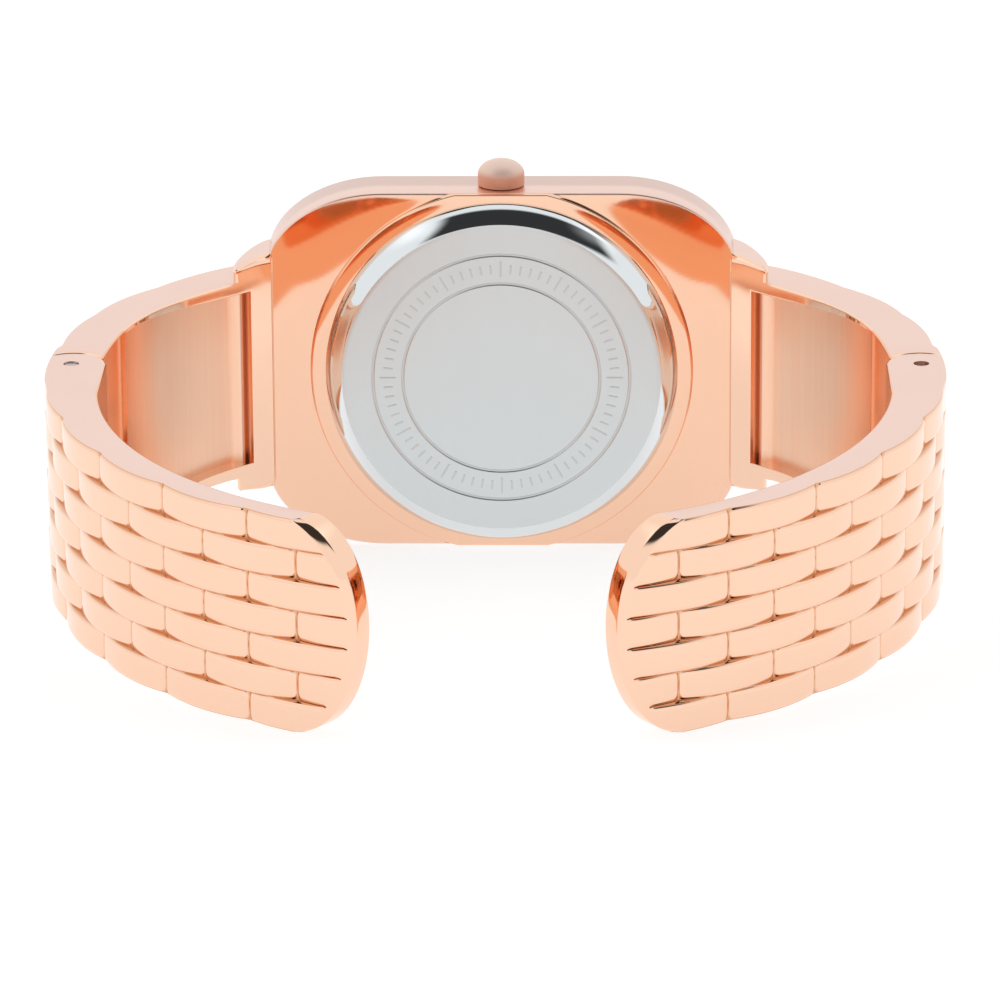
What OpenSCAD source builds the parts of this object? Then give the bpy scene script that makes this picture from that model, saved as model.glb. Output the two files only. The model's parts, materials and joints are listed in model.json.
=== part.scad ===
// Bangle watch: a cushion-shaped quartz watch head on an open cuff bracelet.
// Two fixed arms leave the case, and a sprung cuff arm is hinged to the end of each.
// Drawn with the bracelet's axis along Z, the dial facing +Y and the cuff's opening at -Y.

/* [Band] */
// Width over the outside of the two arms, at their widest
outer_width = 64.6; // [60:0.2:70]
// Height of the band, from rim to rim
band_height = 15.4; // [14:0.2:18]
// Thickness of the fixed arms
fixed_arm_thick = 3.8; // [3.4:0.1:4.4]
// Distance from the widest point of the band towards the case, where the hinge line lies
hinge_above_middle = 1.5; // [0.5:0.1:3]
// Reach of the cuff oval from the widest point of the band to its far side
cuff_reach = 35.2; // [33:0.2:40]
// Thickness of a cuff arm beside its hinge
cuff_hinge_thick = 4.0; // [3.6:0.1:4.6]
// Thickness of the cuff oval at its far side
cuff_tip_thick = 1.9; // [1.6:0.1:2.6]
// How far the centre of the cuff's inner oval lies beyond the centre of its outer one
cuff_inner_shift = 2.5; // [1.5:0.1:3.5]
// Gap between the two cuff tips
tip_gap = 16; // [10:0.2:24]
// Length of the rounding of a cuff tip, along the band
tip_round = 4; // [3:0.2:7.6]
// How far the rounding of a cuff tip runs past the rims, which leaves a small corner there
tip_rise = 0.2; // [0:0.05:0.6]

/* [Brick relief] */
// Rows of bricks across the band, an odd number
brick_rows = 7; // [5:2:9]
// Turn of the band from one brick to the next, in degrees
brick_pitch = 13.8; // [10:0.2:18]
// Turn of the band from a cuff tip to the first joint of the outer rows, in degrees
tip_joint_turn = 16.6; // [12:0.1:18]
// How far a brick's ends lie below its middle
brick_crown = 0.35; // [0.1:0.05:0.5]
// Flat steps that draw one brick's curve
brick_steps = 6; // [4:1:8]

/* [Cuff hinge] */
// Distance of the hinge pin's axis from the outside of the band
pin_from_outside = 1.67; // [1.5:0.05:2]
// Radius of the hinge pin
pin_r = 0.55; // [0.4:0.05:0.7]
// Radius of the knuckles round the pin
knuckle_r = 2.45; // [2.2:0.05:2.6]
// Height of the fixed arm's middle knuckle
barrel_height = 6.6; // [5.8:0.1:8]
// Depth of the left pin's end below the rim, and of the right one
pin_sink = [0.1, 0.6];
// Mean radius of the hinge spring's coil
spring_r = 0.95; // [0.9:0.01:1]
// Radius of the hinge spring's wire
spring_wire_r = 0.2; // [0.15:0.01:0.2]
// Rise of the hinge spring from one curl to the next
spring_pitch = 0.88; // [0.86:0.01:0.9]
// Curls of the hinge spring
spring_curls = 5; // [3:1:5]
// Reach of the hinge spring's two legs, from the pin's axis
spring_leg = 3.2; // [2.9:0.1:3.6]

/* [Case] */
// Width of the case along the band
case_width = 35.4; // [33:0.2:38]
// Height of the case, crown side to opposite side
case_height = 27.8; // [27:0.2:32]
// Corner radius of the case
case_corner = 7.1; // [5:0.1:8]
// Depth of the case, from its back plate to the bezel
case_depth = 4.7; // [4.6:0.1:5.6]
// Distance of the back plate from the hinge line
back_plate_y = 21.7; // [20.5:0.1:22.4]
// Radius of the raised ring on the back plate
step_ring_r = 14.3; // [13.9:0.1:15]
// Height of the raised ring
step_ring_h = 0.35; // [0.3:0.05:0.6]
// Radius of the hollow that takes the movement and its holder
cavity_r = 12.2; // [12:0.05:12.5]
// Height of the lug blocks at the ends of the fixed arms
lug_height = 18.4; // [16:0.2:20]
// How far a lug block reaches out from the case
lug_reach = 2.3; // [1.5:0.1:3]
// Radius of a lug block's rounding, seen along the band's axis
lug_round = 7.5; // [6:0.1:9]

/* [Recess in the fixed arms] */
// Height of the recess
recess_height = 12.2; // [8:0.2:13]
// Depth of the recess
recess_depth = 1.3; // [0.5:0.1:1.6]
// Margin of the recess from the hinge and from the case, in degrees of the band
recess_margin = [12.4, 7.6];

/* [Case back] */
// Radius of the steel case back
back_r = 13.25; // [13:0.05:13.6]
// Radius of the flat centre of the case back
back_flat_r = 12.0; // [11:0.1:12.4]
// Height of the case back above the raised ring
back_h = 1.45; // [1:0.05:1.8]
// Height of the case back's upright edge
back_edge_h = 0.2; // [0.1:0.05:0.4]
// Wall of the rim that snaps into the case
back_rim_wall = 0.6; // [0.4:0.05:0.8]
// Depth of the rim inside the case
back_rim_depth = 0.9; // [0.6:0.05:1]
// Thickness of the case back's floor
back_floor = 0.7; // [0.5:0.05:0.7]

/* [Front] */
// Height of the bezel above the case
bezel_h = 2.0; // [1.8:0.1:2.6]
// Step of the bezel's lower and upper tier in from the case outline
bezel_steps = [0.5, 1.4];
// Height of the bezel's lower tier
bezel_tier = 0.9; // [0.6:0.1:1.1]
// Width of the dial
dial_width = 22.4; // [21:0.1:23]
// Height of the dial, 6 to 12 o'clock
dial_length = 30; // [28:0.1:31]
// Corner radius of the dial
dial_corner = 5.3; // [4:0.1:6]
// Thickness of the dial
dial_thick = 0.4; // [0.3:0.05:0.5]
// Width of the inner ring that frames the dial
dial_ring_w = 0.8; // [0.5:0.1:1.2]
// Thickness of the crystal
crystal_thick = 1.2; // [1:0.1:1.4]
// Width of the crystal's gasket
gasket_w = 0.35; // [0.3:0.05:0.5]
// Width of the bezel's ledge under the crystal
crystal_ledge = 0.7; // [0.5:0.1:1]

/* [Hands and markers] */
// Length of the hour hand
hour_hand_len = 6.2; // [4:0.1:7]
// Length of the minute hand
minute_hand_len = 9.2; // [7:0.1:9.8]
// Length of the second hand
second_hand_len = 9.6; // [7:0.1:10]
// Thickness of each hand
hand_thick = 0.15; // [0.1:0.01:0.15]
// Length of an hour marker
marker_len = 1.9; // [1:0.1:3]
// Width of an hour marker
marker_w = 0.55; // [0.3:0.05:0.9]
// Height of an hour marker above the dial
marker_h = 0.22; // [0.1:0.02:0.25]

/* [Crown and stem] */
// Radius of the crown
crown_r = 1.8; // [1.5:0.05:2.1]
// Height of the crown's straight side
crown_side = 1.45; // [1.2:0.05:2]
// Height of the crown's dome
crown_dome = 0.75; // [0.4:0.05:1]
// Gap between the pushed-in crown and the case
crown_gap = 0.3; // [0.2:0.05:0.5]
// Travel of the crown when it is pulled
crown_pull = 1.0; // [0.5:0.1:1.2]
// Radius of the crown tube
tube_r = 1.0; // [0.9:0.05:1.1]
// How far the crown tube stands out of the case
tube_out = 1.5; // [1.3:0.05:1.6]
// Radius of the stem inside the tube
stem_r = 0.5; // [0.4:0.05:0.6]
// Radius of the stem inside the movement
stem_inner_r = 0.4; // [0.3:0.05:0.45]
// Depth of the stem's axis from the back plate
stem_depth = 2.4; // [2.35:0.01:2.45]

/* [Movement] */
// Radius of the movement
movement_r = 9.6; // [9.5:0.05:9.7]
// Depth of the main plate's two faces from the back plate
plate_z = [2.35, 3.35];
// Depth of the train bridge's two faces from the back plate
bridge_z = [0.7, 1.15];
// Radius of the button battery
battery_r = 2.9; // [2.4:0.05:2.9]
// Radius of the coil's winding
coil_r = 0.85; // [0.6:0.05:0.9]
// Length of the coil's winding
coil_len = 7; // [5:0.2:7.4]
// Thickness of a train wheel
wheel_thick = 0.15; // [0.1:0.01:0.16]
// Radius of the movement screws' heads
screw_head_r = 0.55; // [0.4:0.05:0.6]

/* [Hidden] */
$fn = 48;
// Clearances: running fit, close fit of fixed pieces, hinged faces, round the knuckles, round loose pieces
run_gap = 0.03;
seat_gap = 0.01;
hinge_gap = 0.05;
knuckle_gap = 0.08;
slack = 0.1;
// How far a cut runs past the face that it opens
over = 1;

// Band outline, centred on the widest point of the oval, with turns in degrees from there
band_r = outer_width / 2;
band_mid_y = -hinge_above_middle;
fixed_inner_r = band_r - fixed_arm_thick;
inner_oval = [band_r - cuff_hinge_thick, cuff_reach - cuff_inner_shift - cuff_tip_thick];
row_h = band_height / brick_rows;
hinge_turn = asin(hinge_above_middle / band_r);
case_turn = acos(case_width / 2 / band_r);
case_overlap_turn = 5;
tip_turn = -acos(tip_gap / 2 / band_r);
tip_overlap_turn = 3;
inner_turn = asin((hinge_above_middle + cuff_inner_shift) / inner_oval[1]);
band_fn = 96;

// Cuff hinge
pin_x = sqrt(band_r * band_r - hinge_above_middle * hinge_above_middle) - pin_from_outside;
pin_bore_r = pin_r + run_gap;
knuckle_span = [-10, 12];
knuckle_back = [5, 10];
chamber_r = spring_r + spring_wire_r + slack;
chamber_h = spring_pitch * spring_curls + 2 * spring_wire_r + 3 * slack;
leg_z = spring_pitch * spring_curls / 2;
leg_window = [[-1.5, 0], [-1.5, -6], [4.5, -6], [0.3, 0]];

// Tenon that seats a fixed arm in the case: depth in the case, root in the arm, thickness, height
tenon_in = 1.5;
tenon_root = 0.5;
tenon_thick = 2;
tenon_height = 8;
lug_front = 20;

// Depths from the back plate towards the dial
dial_z = plate_z[1] + 0.05;
dial_top = dial_z + dial_thick;
dial_gap = 0.1;
dial_hole_gap = 0.1;
front_z = case_depth + bezel_h;
crystal_z = front_z - crystal_thick;
crystal_inset = 0.05;
crystal_seat = gasket_w - crystal_inset;
skirt_depth = 0.5;
skirt_wall = 0.6;
back_groove = [12.45, 12.95];
back_z = -step_ring_h - back_h;
wheel_gap = 0.05;
level_seconds = bridge_z[1] + 2 * wheel_gap;
level_third = level_seconds + wheel_thick + 2 * wheel_gap;
level_centre = level_third + wheel_thick + 4 * wheel_gap;
level_intermediate = level_centre + wheel_thick + wheel_gap;
motion_floor = plate_z[0] + 0.35;
level_minute = motion_floor + 2 * wheel_gap;
level_hour = level_minute + wheel_thick + 3 * wheel_gap;
hand_z = [dial_top + 0.4, dial_top + 0.75, dial_top + 1.1];
hand_turn = [145, 30, -120];
hub_r = [1.1, 0.85, 0.5];
hand_w = [0.95, 0.7, 0.16];
hand_tail = [1.6, 2, 2.8];
hand_tip = 0.05;

// Train: teeth, modules and centres, x towards the crown and y towards 12 o'clock
seconds_teeth = 40;
seconds_pinion = 8;
third_teeth = 60;
third_pinion = 8;
centre_teeth = 64;
cannon_teeth = 12;
minute_teeth = 36;
minute_pinion = 10;
hour_teeth = 40;
intermediate_teeth = 36;
intermediate_pinion = 8;
rotor_pinion = 6;
module_seconds = 0.13;
module_third = 0.09;
module_centre = module_third * (third_teeth + seconds_pinion) / (centre_teeth + third_pinion);
module_minute = 0.1;
module_hour = module_minute * (cannon_teeth + minute_teeth) / (hour_teeth + minute_pinion);
module_rotor = 0.1;
third_angle = -50;
intermediate_angle = 120;
rotor_angle = 150;
minute_angle = -150;
third_at = (third_teeth + seconds_pinion) * module_third / 2 * [cos(third_angle), sin(third_angle)];
intermediate_dist = (seconds_teeth + intermediate_pinion) * module_seconds / 2;
intermediate_at = intermediate_dist * [cos(intermediate_angle), sin(intermediate_angle)];
rotor_dist = (intermediate_teeth + rotor_pinion) * module_rotor / 2;
rotor_at = intermediate_at + rotor_dist * [cos(rotor_angle), sin(rotor_angle)];
minute_dist = (cannon_teeth + minute_teeth) * module_minute / 2;
minute_at = minute_dist * [cos(minute_angle), sin(minute_angle)];
tooth = [[-0.29, -1.15], [-0.12, 0.85], [0.12, 0.85], [0.29, -1.15]];
spoke_holes = 4;
arbor_r = 0.15;
pivot_r = 0.1;
pivot_len = 0.3;
rotor_magnet_r = 0.65;
magnet_z = [1.3, 1.85];
tube_wall = 0.22;
seconds_arbor_r = 0.16;
cannon_r = seconds_arbor_r + run_gap + tube_wall;
hour_tube_r = cannon_r + run_gap + tube_wall;
minute_stud_r = 0.2;
motion_room = 0.2;

// Movement pieces
rim_w = 0.5;
rim_z = 0.6;
battery_turn = -125;
battery_at = (movement_r - rim_w - slack - battery_r) * [cos(battery_turn), sin(battery_turn)];
battery_cap_r = 0.8 * battery_r;
battery_step = 0.25;
screws_at = [[3.4, 2.6], [2.9, -5.9], [-4.3, 0.4]];
screw_r = 0.25;
screw_end = 2;
screw_head_h = 0.2;
screw_slot = [0.15, 0.1];
post_r = 0.6;
bridge_boss_r = 0.7;
bridge_arm_w = 1.1;
coil_at = [0.4, 6.6];
core_size = [10, 1];
stator_z = [1.5, 1.75];
core_z = [stator_z[0] - 0.3, stator_z[0]];
stator_foot = [1.1, 2.8];
stator_eye_r = 1.5;
stator_hole_r = 0.85;
stator_bar = [4.2, 5.3];
board_z = 2.1;
board_x = -5.2;
chip_at = [-6.2, 3.6];
chip_r = 0.85;
chip_h = 0.4;
can_r = 0.6;
can_at = [-7.3, -2.6];
can_len = 5;
strap_thick = 0.2;
strap_r = 0.45;

// Crown and stem, heights along the band's axis from the middle of the case
crown_z = case_height / 2 + crown_gap;
tube_top = case_height / 2 + tube_out;
tube_bottom = cavity_r - 0.05;
crown_bore_r = tube_r + 0.25;
crown_bore_top = tube_top + 0.2;
crown_foot = 0.15;
crown_gasket_z = [0.08, 0.38];
stem_top = crown_bore_top + 0.4;
stem_end = 4.6;
stem_room = 0.1;
square_end = 6.9;
groove_z = [7, 7.6];
groove_r = 0.2;
pinion_z = [5.4, 6.6];
pinion_r = 0.85;
pinion_groove = [5.9, 6.2];
pinion_teeth = 8;
pinion_tooth_h = 0.2;
lever_z = [1.35, 1.5];
lever_pin_r = 0.2;
lever_stud_r = 0.25;
lever_pin_at = [(groove_z[0] + groove_z[1]) / 2, 0];
lever_reach = 2.2;
lever_at = [lever_pin_at[0] + crown_pull / 2, lever_reach];

// The whole watch stands on the lower side of its case, centred front to back
lowest_y = band_mid_y - cuff_reach * sqrt(1 - pow(tip_gap / outer_width, 2));
shift = [0, -(back_plate_y + front_z + lowest_y) / 2, case_height / 2];

rose_gold = [0.93, 0.70, 0.58];
steel = [0.80, 0.81, 0.82];
brass = [0.80, 0.66, 0.36];
copper = [0.78, 0.42, 0.26];
black = [0.10, 0.10, 0.11];
white = [0.94, 0.93, 0.90];
green = [0.12, 0.36, 0.22];
glass = [0.80, 0.88, 0.92, 0.35];

// Frames: the band as drawn, its left half, and the dial seen from the front
module place() {
  translate(shift) children();
}
module left_half() {
  mirror([1, 0, 0]) children();
}
module dial_frame() {
  place() translate([0, back_plate_y, 0]) rotate([-90, 0, 0]) rotate([0, 0, -90]) children();
}
module stem_frame() {
  place() translate([0, back_plate_y + stem_depth, 0]) children();
}

// Flat shapes, and slabs of them between two depths
module rounded(size, r) {
  square([size[0] - 2 * r, size[1]], center = true);
  square([size[0], size[1] - 2 * r], center = true);
  for (x = [-1, 1], y = [-1, 1])
    translate([x * (size[0] / 2 - r), y * (size[1] / 2 - r)]) circle(r);
}
module case_outline(inset) {
  rounded([case_height - 2 * inset, case_width - 2 * inset], case_corner - inset);
}
module dial_outline(grow) {
  rounded([dial_width + 2 * grow, dial_length + 2 * grow], dial_corner + grow);
}
module strip(a, b, w) {
  translate(a) rotate(atan2(b[1] - a[1], b[0] - a[0])) translate([0, -w / 2]) square([norm(b - a), w]);
}
module bar(a, b, r) {
  translate(a) circle(r);
  translate(b) circle(r);
  strip(a, b, 2 * r);
}
module slab(z0, z1) {
  translate([0, 0, z0]) linear_extrude(z1 - z0) children();
}
module ring(outer, inner, z0, z1) {
  slab(z0, z1) difference() {
    circle(outer);
    circle(inner);
  }
}
module hole_at(at, r, z0, z1) {
  translate([at[0], at[1], z0]) cylinder(r = r, h = z1 - z0);
}
module rod(r, z0, z1) {
  translate([0, 0, z0]) cylinder(r = r, h = z1 - z0);
}

// Gear wheel with straight-sided teeth, the first of them at the angle turn
module gear(teeth, tooth_module, turn, z0, z1) {
  pitch_r = teeth * tooth_module / 2;
  step = 360 / teeth;
  slab(z0, z1) polygon([for (i = [0:teeth - 1], p = tooth)
    let (a = turn + (i + p[0]) * step, r = pitch_r + p[1] * tooth_module) r * [cos(a), sin(a)]]);
}
module spoked_gear(teeth, tooth_module, turn, level) {
  pitch_r = teeth * tooth_module / 2;
  difference() {
    gear(teeth, tooth_module, turn, level, level + wheel_thick);
    for (i = [1:spoke_holes])
      hole_at(0.56 * pitch_r * [cos(i * 360 / spoke_holes), sin(i * 360 / spoke_holes)],
        0.24 * pitch_r, level - over, level + over);
  }
}
// Turn that puts a gear's gap on a tooth of the gear that it meshes with
function mesh_turn(direction, turn, teeth, own_teeth) =
  direction + 180 - 180 / own_teeth + teeth * (direction - turn) / own_teeth;
// Arbor between plate and bridge, with a thin pivot at each end
module arbor() {
  rod(arbor_r, bridge_z[1] + wheel_gap, plate_z[0] - wheel_gap);
  rod(pivot_r, bridge_z[1] + wheel_gap - pivot_len, plate_z[0] - wheel_gap + pivot_len);
}

// Band outline with bricks: one point of the outside, on the row's own phase
function brick_place(turn, row) = (turn - tip_turn - tip_joint_turn) / brick_pitch + (row % 2) / 2;
function brick_turn(place, row) = tip_turn + tip_joint_turn + (place - (row % 2) / 2) * brick_pitch;
function brick_dip(turn, row) =
  let (u = brick_place(turn, row), v = 2 * (u - floor(u)) - 1)
  u < -0.5 ? 0 : brick_crown * v * v;
function outside(turn, row) =
  let (d = brick_dip(turn, row), reach = turn > 0 ? band_r : cuff_reach)
  [(band_r - d) * cos(turn), band_mid_y + (reach - d) * sin(turn)];
function outside_run(from, to, row) =
  let (u0 = brick_place(from, row) * brick_steps, u1 = brick_place(to, row) * brick_steps)
  concat([outside(from, row)],
    [for (i = [ceil(u0 + 0.2):floor(u1 - 0.2)]) outside(brick_turn(i / brick_steps, row), row)],
    [outside(to, row)]);
function inside_run(from, to) =
  [for (i = [0:24]) let (a = from + (to - from) * i / 24)
    [inner_oval[0] * cos(a), band_mid_y - cuff_inner_shift + inner_oval[1] * sin(a)]];
module at_row(row) {
  translate([0, 0, -band_height / 2 + row * row_h]) linear_extrude(row_h) children();
}
module rim_hole(r, h) {
  translate([pin_x, 0, 0]) cylinder(r = r, h = h, center = true);
}
module leg_hole(z, turn) {
  translate([pin_x - spring_r, 0, z]) rotate([turn, 0, 0])
    cylinder(r = spring_wire_r + slack, h = spring_leg + 2 * slack);
}
// Knuckle round the pin's axis, cut off flush with the bricks
module knuckle(h) {
  intersection() {
    rim_hole(knuckle_r, h);
    for (row = [0:brick_rows - 1]) at_row(row)
      polygon(concat(outside_run(knuckle_span[0], knuckle_span[1], row),
        [[pin_x - knuckle_back[0], knuckle_back[1]], [pin_x - knuckle_back[0], -knuckle_back[1]]]));
  }
}

// Fixed arm: lug block at the case, brick relief outside, recess inside, middle knuckle
module wedge(from, to, reach) {
  polygon([[0, 0], reach * [cos(from), sin(from)], reach * [cos(to), sin(to)]]);
}
module lug_block() {
  linear_extrude(lug_height, center = true) intersection() {
    translate([case_width / 2 + lug_reach - lug_round, back_plate_y - 1.5]) circle(lug_round);
    translate([0, back_plate_y + case_depth - lug_front]) square([band_r, lug_front]);
  }
}
module fixed_arm() {
  difference() {
    union() {
      difference() {
        union() {
          for (row = [0:brick_rows - 1]) at_row(row)
            polygon(concat(outside_run(hinge_turn, case_turn + case_overlap_turn, row),
              [[case_width / 4, 0]]));
          lug_block();
        }
        for (side = [-1, 1]) translate([pin_x, 0, side * (barrel_height + band_height) / 2])
          cylinder(r = knuckle_r + knuckle_gap, h = band_height, center = true);
        translate([0, band_mid_y, 0])
          cylinder(r = fixed_inner_r, h = 2 * lug_height, center = true, $fn = band_fn);
      }
      knuckle(barrel_height);
    }
    translate([0, band_mid_y, 0]) linear_extrude(recess_height, center = true) intersection() {
      circle(fixed_inner_r + recess_depth, $fn = band_fn);
      wedge(hinge_turn + recess_margin[0], case_turn - recess_margin[1], 2 * band_r);
    }
    translate([0, back_plate_y, 0]) rotate([-90, 0, 0]) rotate([0, 0, -90])
      slab(-lug_front, lug_front) case_outline(-seat_gap);
    rim_hole(pin_bore_r, 2 * band_height);
    rim_hole(chamber_r, chamber_h);
    leg_hole(leg_z, -90);
    translate([pin_x, 0, -leg_z]) linear_extrude(2 * (spring_wire_r + slack), center = true)
      polygon(leg_window);
  }
  translate([case_width / 2 - tenon_in, back_plate_y + (case_depth - tenon_thick) / 2, -tenon_height / 2])
    cube([tenon_in + tenon_root, tenon_thick, tenon_height]);
}

// Cuff arm: two ears round the pin, brick relief outside, rounded tip
module tip_shape() {
  rise = band_height / 2 + tip_rise;
  rotate([90, 0, 0]) linear_extrude(3 * cuff_reach, center = true)
    polygon(concat(
      [for (i = [0:24]) let (a = 90 + 180 * i / 24)
        [tip_gap / 2 + tip_round + tip_round * cos(a), rise * sin(a)]],
      [[outer_width, -rise], [outer_width, rise]]));
}
module cuff_arm() {
  difference() {
    intersection() {
      union() {
        for (row = [0:brick_rows - 1]) at_row(row)
          polygon(concat(outside_run(tip_turn - tip_overlap_turn, hinge_turn, row),
            inside_run(inner_turn, tip_turn - 2 * tip_overlap_turn)));
        knuckle(band_height);
      }
      tip_shape();
    }
    rim_hole(knuckle_r + knuckle_gap, barrel_height + 2 * hinge_gap);
    rim_hole(pin_r + seat_gap, 2 * band_height);
    leg_hole(-leg_z, 90);
  }
}
module hinge_pin(sink) {
  rim_hole(pin_r, band_height - 2 * sink);
}

// Hinge spring: centre line from leg to leg, then one tube swept along it, least gap measured on its points
coil_rings = 8;
wire_sides = 6;
coil_steps = coil_rings * spring_curls;
spring_line = concat(
  [[-spring_r, -spring_leg, -leg_z], [-spring_r, -spring_leg / 2, -leg_z]],
  [for (i = [0:coil_steps]) let (a = 180 - 360 * i / coil_rings)
    [spring_r * cos(a), spring_r * sin(a), -leg_z + spring_pitch * i / coil_rings]],
  [[-spring_r, spring_leg / 2, leg_z], [-spring_r, spring_leg, leg_z]]);
spring_last = len(spring_line) - 1;
function unit(v) = v / norm(v);
function spring_ring(i) =
  let (t = unit(spring_line[min(i + 1, spring_last)] - spring_line[max(i - 1, 0)]),
    s = unit(cross(t, [0, 0, 1])), n = cross(s, t))
  [for (j = [0:wire_sides - 1]) let (a = 360 * j / wire_sides)
    spring_line[i] + spring_wire_r * (cos(a) * s + sin(a) * n)];
spring_points = [for (i = [0:spring_last]) spring_ring(i)];
spring_gap = min([for (i = [0:spring_last], k = [i + coil_rings / 2 + 1:spring_last])
  min([for (p = spring_points[i], q = spring_points[k]) norm(p - q)])]);
echo(str("hinge spring, least gap to itself: ", spring_gap, " mm"));
module hinge_spring() {
  last = spring_last * wire_sides;
  translate([pin_x, 0, 0]) polyhedron(
    points = [for (ring_points = spring_points) each ring_points],
    faces = concat(
      [for (i = [0:spring_last - 1], j = [0:wire_sides - 1], half = [0, 1])
        let (a = i * wire_sides + j, b = i * wire_sides + (j + 1) % wire_sides)
        half == 0 ? [a, b, a + wire_sides] : [b, b + wire_sides, a + wire_sides]],
      [for (j = [1:wire_sides - 2]) [0, j + 1, j]],
      [for (j = [1:wire_sides - 2]) [last, last + j, last + j + 1]]));
}

// Watch head
module case_middle() {
  color(rose_gold) dial_frame() difference() {
    union() {
      slab(0, case_depth) case_outline(0);
      slab(-step_ring_h, 0) intersection() {
        circle(step_ring_r);
        case_outline(0);
      }
    }
    slab(-over, dial_z) circle(cavity_r);
    slab(dial_z, case_depth + over) dial_outline(dial_gap);
    slab(case_depth - skirt_depth - seat_gap, case_depth + over) dial_outline(dial_gap + skirt_wall);
    ring(back_groove[1], back_groove[0], -over, 0);
    translate([0, 0, stem_depth]) rotate([0, 90, 0]) cylinder(r = tube_r + seat_gap, h = case_height);
    for (side = [-1, 1]) translate([0, side * case_width / 2, case_depth / 2])
      cube([tenon_height + 2 * seat_gap, 2 * (tenon_in + seat_gap), tenon_thick + 2 * seat_gap],
        center = true);
  }
}
module bezel() {
  color(rose_gold) dial_frame() difference() {
    union() {
      slab(case_depth, case_depth + bezel_tier) case_outline(bezel_steps[0]);
      slab(case_depth + bezel_tier, front_z) case_outline(bezel_steps[1]);
      slab(case_depth - skirt_depth, case_depth) dial_outline(dial_gap + skirt_wall - seat_gap);
    }
    slab(crystal_z, front_z + over) dial_outline(crystal_seat + seat_gap);
    slab(case_depth - over, crystal_z) dial_outline(crystal_seat - crystal_ledge);
    slab(case_depth - over, case_depth) dial_outline(dial_gap);
  }
}
module crystal() {
  color(glass) dial_frame() slab(crystal_z, front_z) dial_outline(-crystal_inset - seat_gap);
}
module crystal_gasket() {
  color(black) dial_frame() slab(crystal_z, front_z) difference() {
    dial_outline(crystal_seat);
    dial_outline(-crystal_inset);
  }
}
module case_back() {
  rim_r = cavity_r - seat_gap;
  color(steel) dial_frame() rotate_extrude() polygon([
    [0, back_z], [back_flat_r, back_z], [back_r, -step_ring_h - back_edge_h], [back_r, -step_ring_h],
    [rim_r, -step_ring_h], [rim_r, back_rim_depth], [rim_r - back_rim_wall, back_rim_depth],
    [rim_r - back_rim_wall, back_z + back_floor], [0, back_z + back_floor]]);
}
module case_back_gasket() {
  color(black) dial_frame()
    ring(back_groove[1] - seat_gap, back_groove[0] + seat_gap, -step_ring_h, 0);
}
module dial() {
  color(white) dial_frame() slab(dial_z, dial_top) difference() {
    dial_outline(0);
    circle(hour_tube_r + dial_hole_gap);
  }
}
module dial_ring() {
  color(rose_gold) dial_frame() slab(dial_top, case_depth) difference() {
    dial_outline(dial_gap - seat_gap);
    dial_outline(-dial_ring_w);
  }
}
// Distance from the dial's centre to a rounded rectangle inside the dial ring, in one direction
marker_rim = dial_ring_w + 0.4;
function marker_reach(a) =
  let (u = [abs(cos(a)), abs(sin(a))], r = dial_corner - marker_rim,
    half = [dial_width / 2 - marker_rim, dial_length / 2 - marker_rim], c = half - [r, r],
    flat = min(u[0] > 0.01 ? half[0] / u[0] : 99, u[1] > 0.01 ? half[1] / u[1] : 99), t = c * u)
  flat * u[0] > c[0] && flat * u[1] > c[1] ? t + sqrt(r * r - c * c + t * t) : flat;
module hour_markers() {
  color(rose_gold) dial_frame() slab(dial_top, dial_top + marker_h)
    for (i = [0:11]) rotate(i * 30) translate([marker_reach(i * 30) - marker_len, -marker_w / 2])
      square([marker_len, marker_w]);
}

// Movement, fixed pieces
module movement_holder() {
  color(white) dial_frame() difference() {
    ring(cavity_r - slack, movement_r + hinge_gap, back_rim_depth + hinge_gap, dial_z);
    translate([0, 0, stem_depth]) rotate([0, 90, 0]) cylinder(r = stem_r + 2 * slack, h = case_height);
    for (a = [45:90:315]) rotate(a) translate([movement_r, -1, -over]) cube([1, 2, 2 * dial_z]);
  }
}
module main_plate() {
  foot_x = (core_size[0] - core_size[1]) / 2;
  stem_hole = stem_inner_r + stem_room;
  pinion_hole = pinion_r + stem_room;
  color(brass) dial_frame() {
    difference() {
      union() {
        slab(plate_z[0], plate_z[1]) circle(movement_r);
        ring(movement_r, movement_r - rim_w, rim_z, plate_z[0]);
        for (at = screws_at) hole_at(at, post_r, bridge_z[1], plate_z[0]);
        for (side = [-1, 1])
          hole_at(coil_at + [side * foot_x, 0], core_size[1] / 2, stator_z[1], plate_z[0]);
        hole_at(lever_at, lever_stud_r, lever_z[0] - slack, plate_z[0]);
      }
      hole_at([0, 0], hour_teeth * module_hour / 2 + motion_room, motion_floor, plate_z[1] + over);
      hole_at(minute_at, minute_teeth * module_minute / 2 + motion_room,
        motion_floor, plate_z[1] + over);
      hole_at([0, 0], cannon_r + run_gap, 0, motion_floor + over);
      for (at = [third_at, intermediate_at, rotor_at])
        hole_at(at, pivot_r + run_gap, plate_z[0] - over, plate_z[0] + pivot_len);
      for (at = screws_at) hole_at(at, screw_r + seat_gap, 0, screw_end + slack);
      translate([stem_end - 2 * stem_room, -stem_hole, stem_depth - stem_hole])
        cube([movement_r, 2 * stem_hole, 2 * stem_hole]);
      translate([pinion_z[0] - 2 * stem_room, -pinion_hole, stem_depth - pinion_hole])
        cube([pinion_z[1] - pinion_z[0] + 4 * stem_room, 2 * pinion_hole, 2 * over + pinion_hole]);
    }
    hole_at(minute_at, minute_stud_r, motion_floor, plate_z[1]);
  }
}
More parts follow.
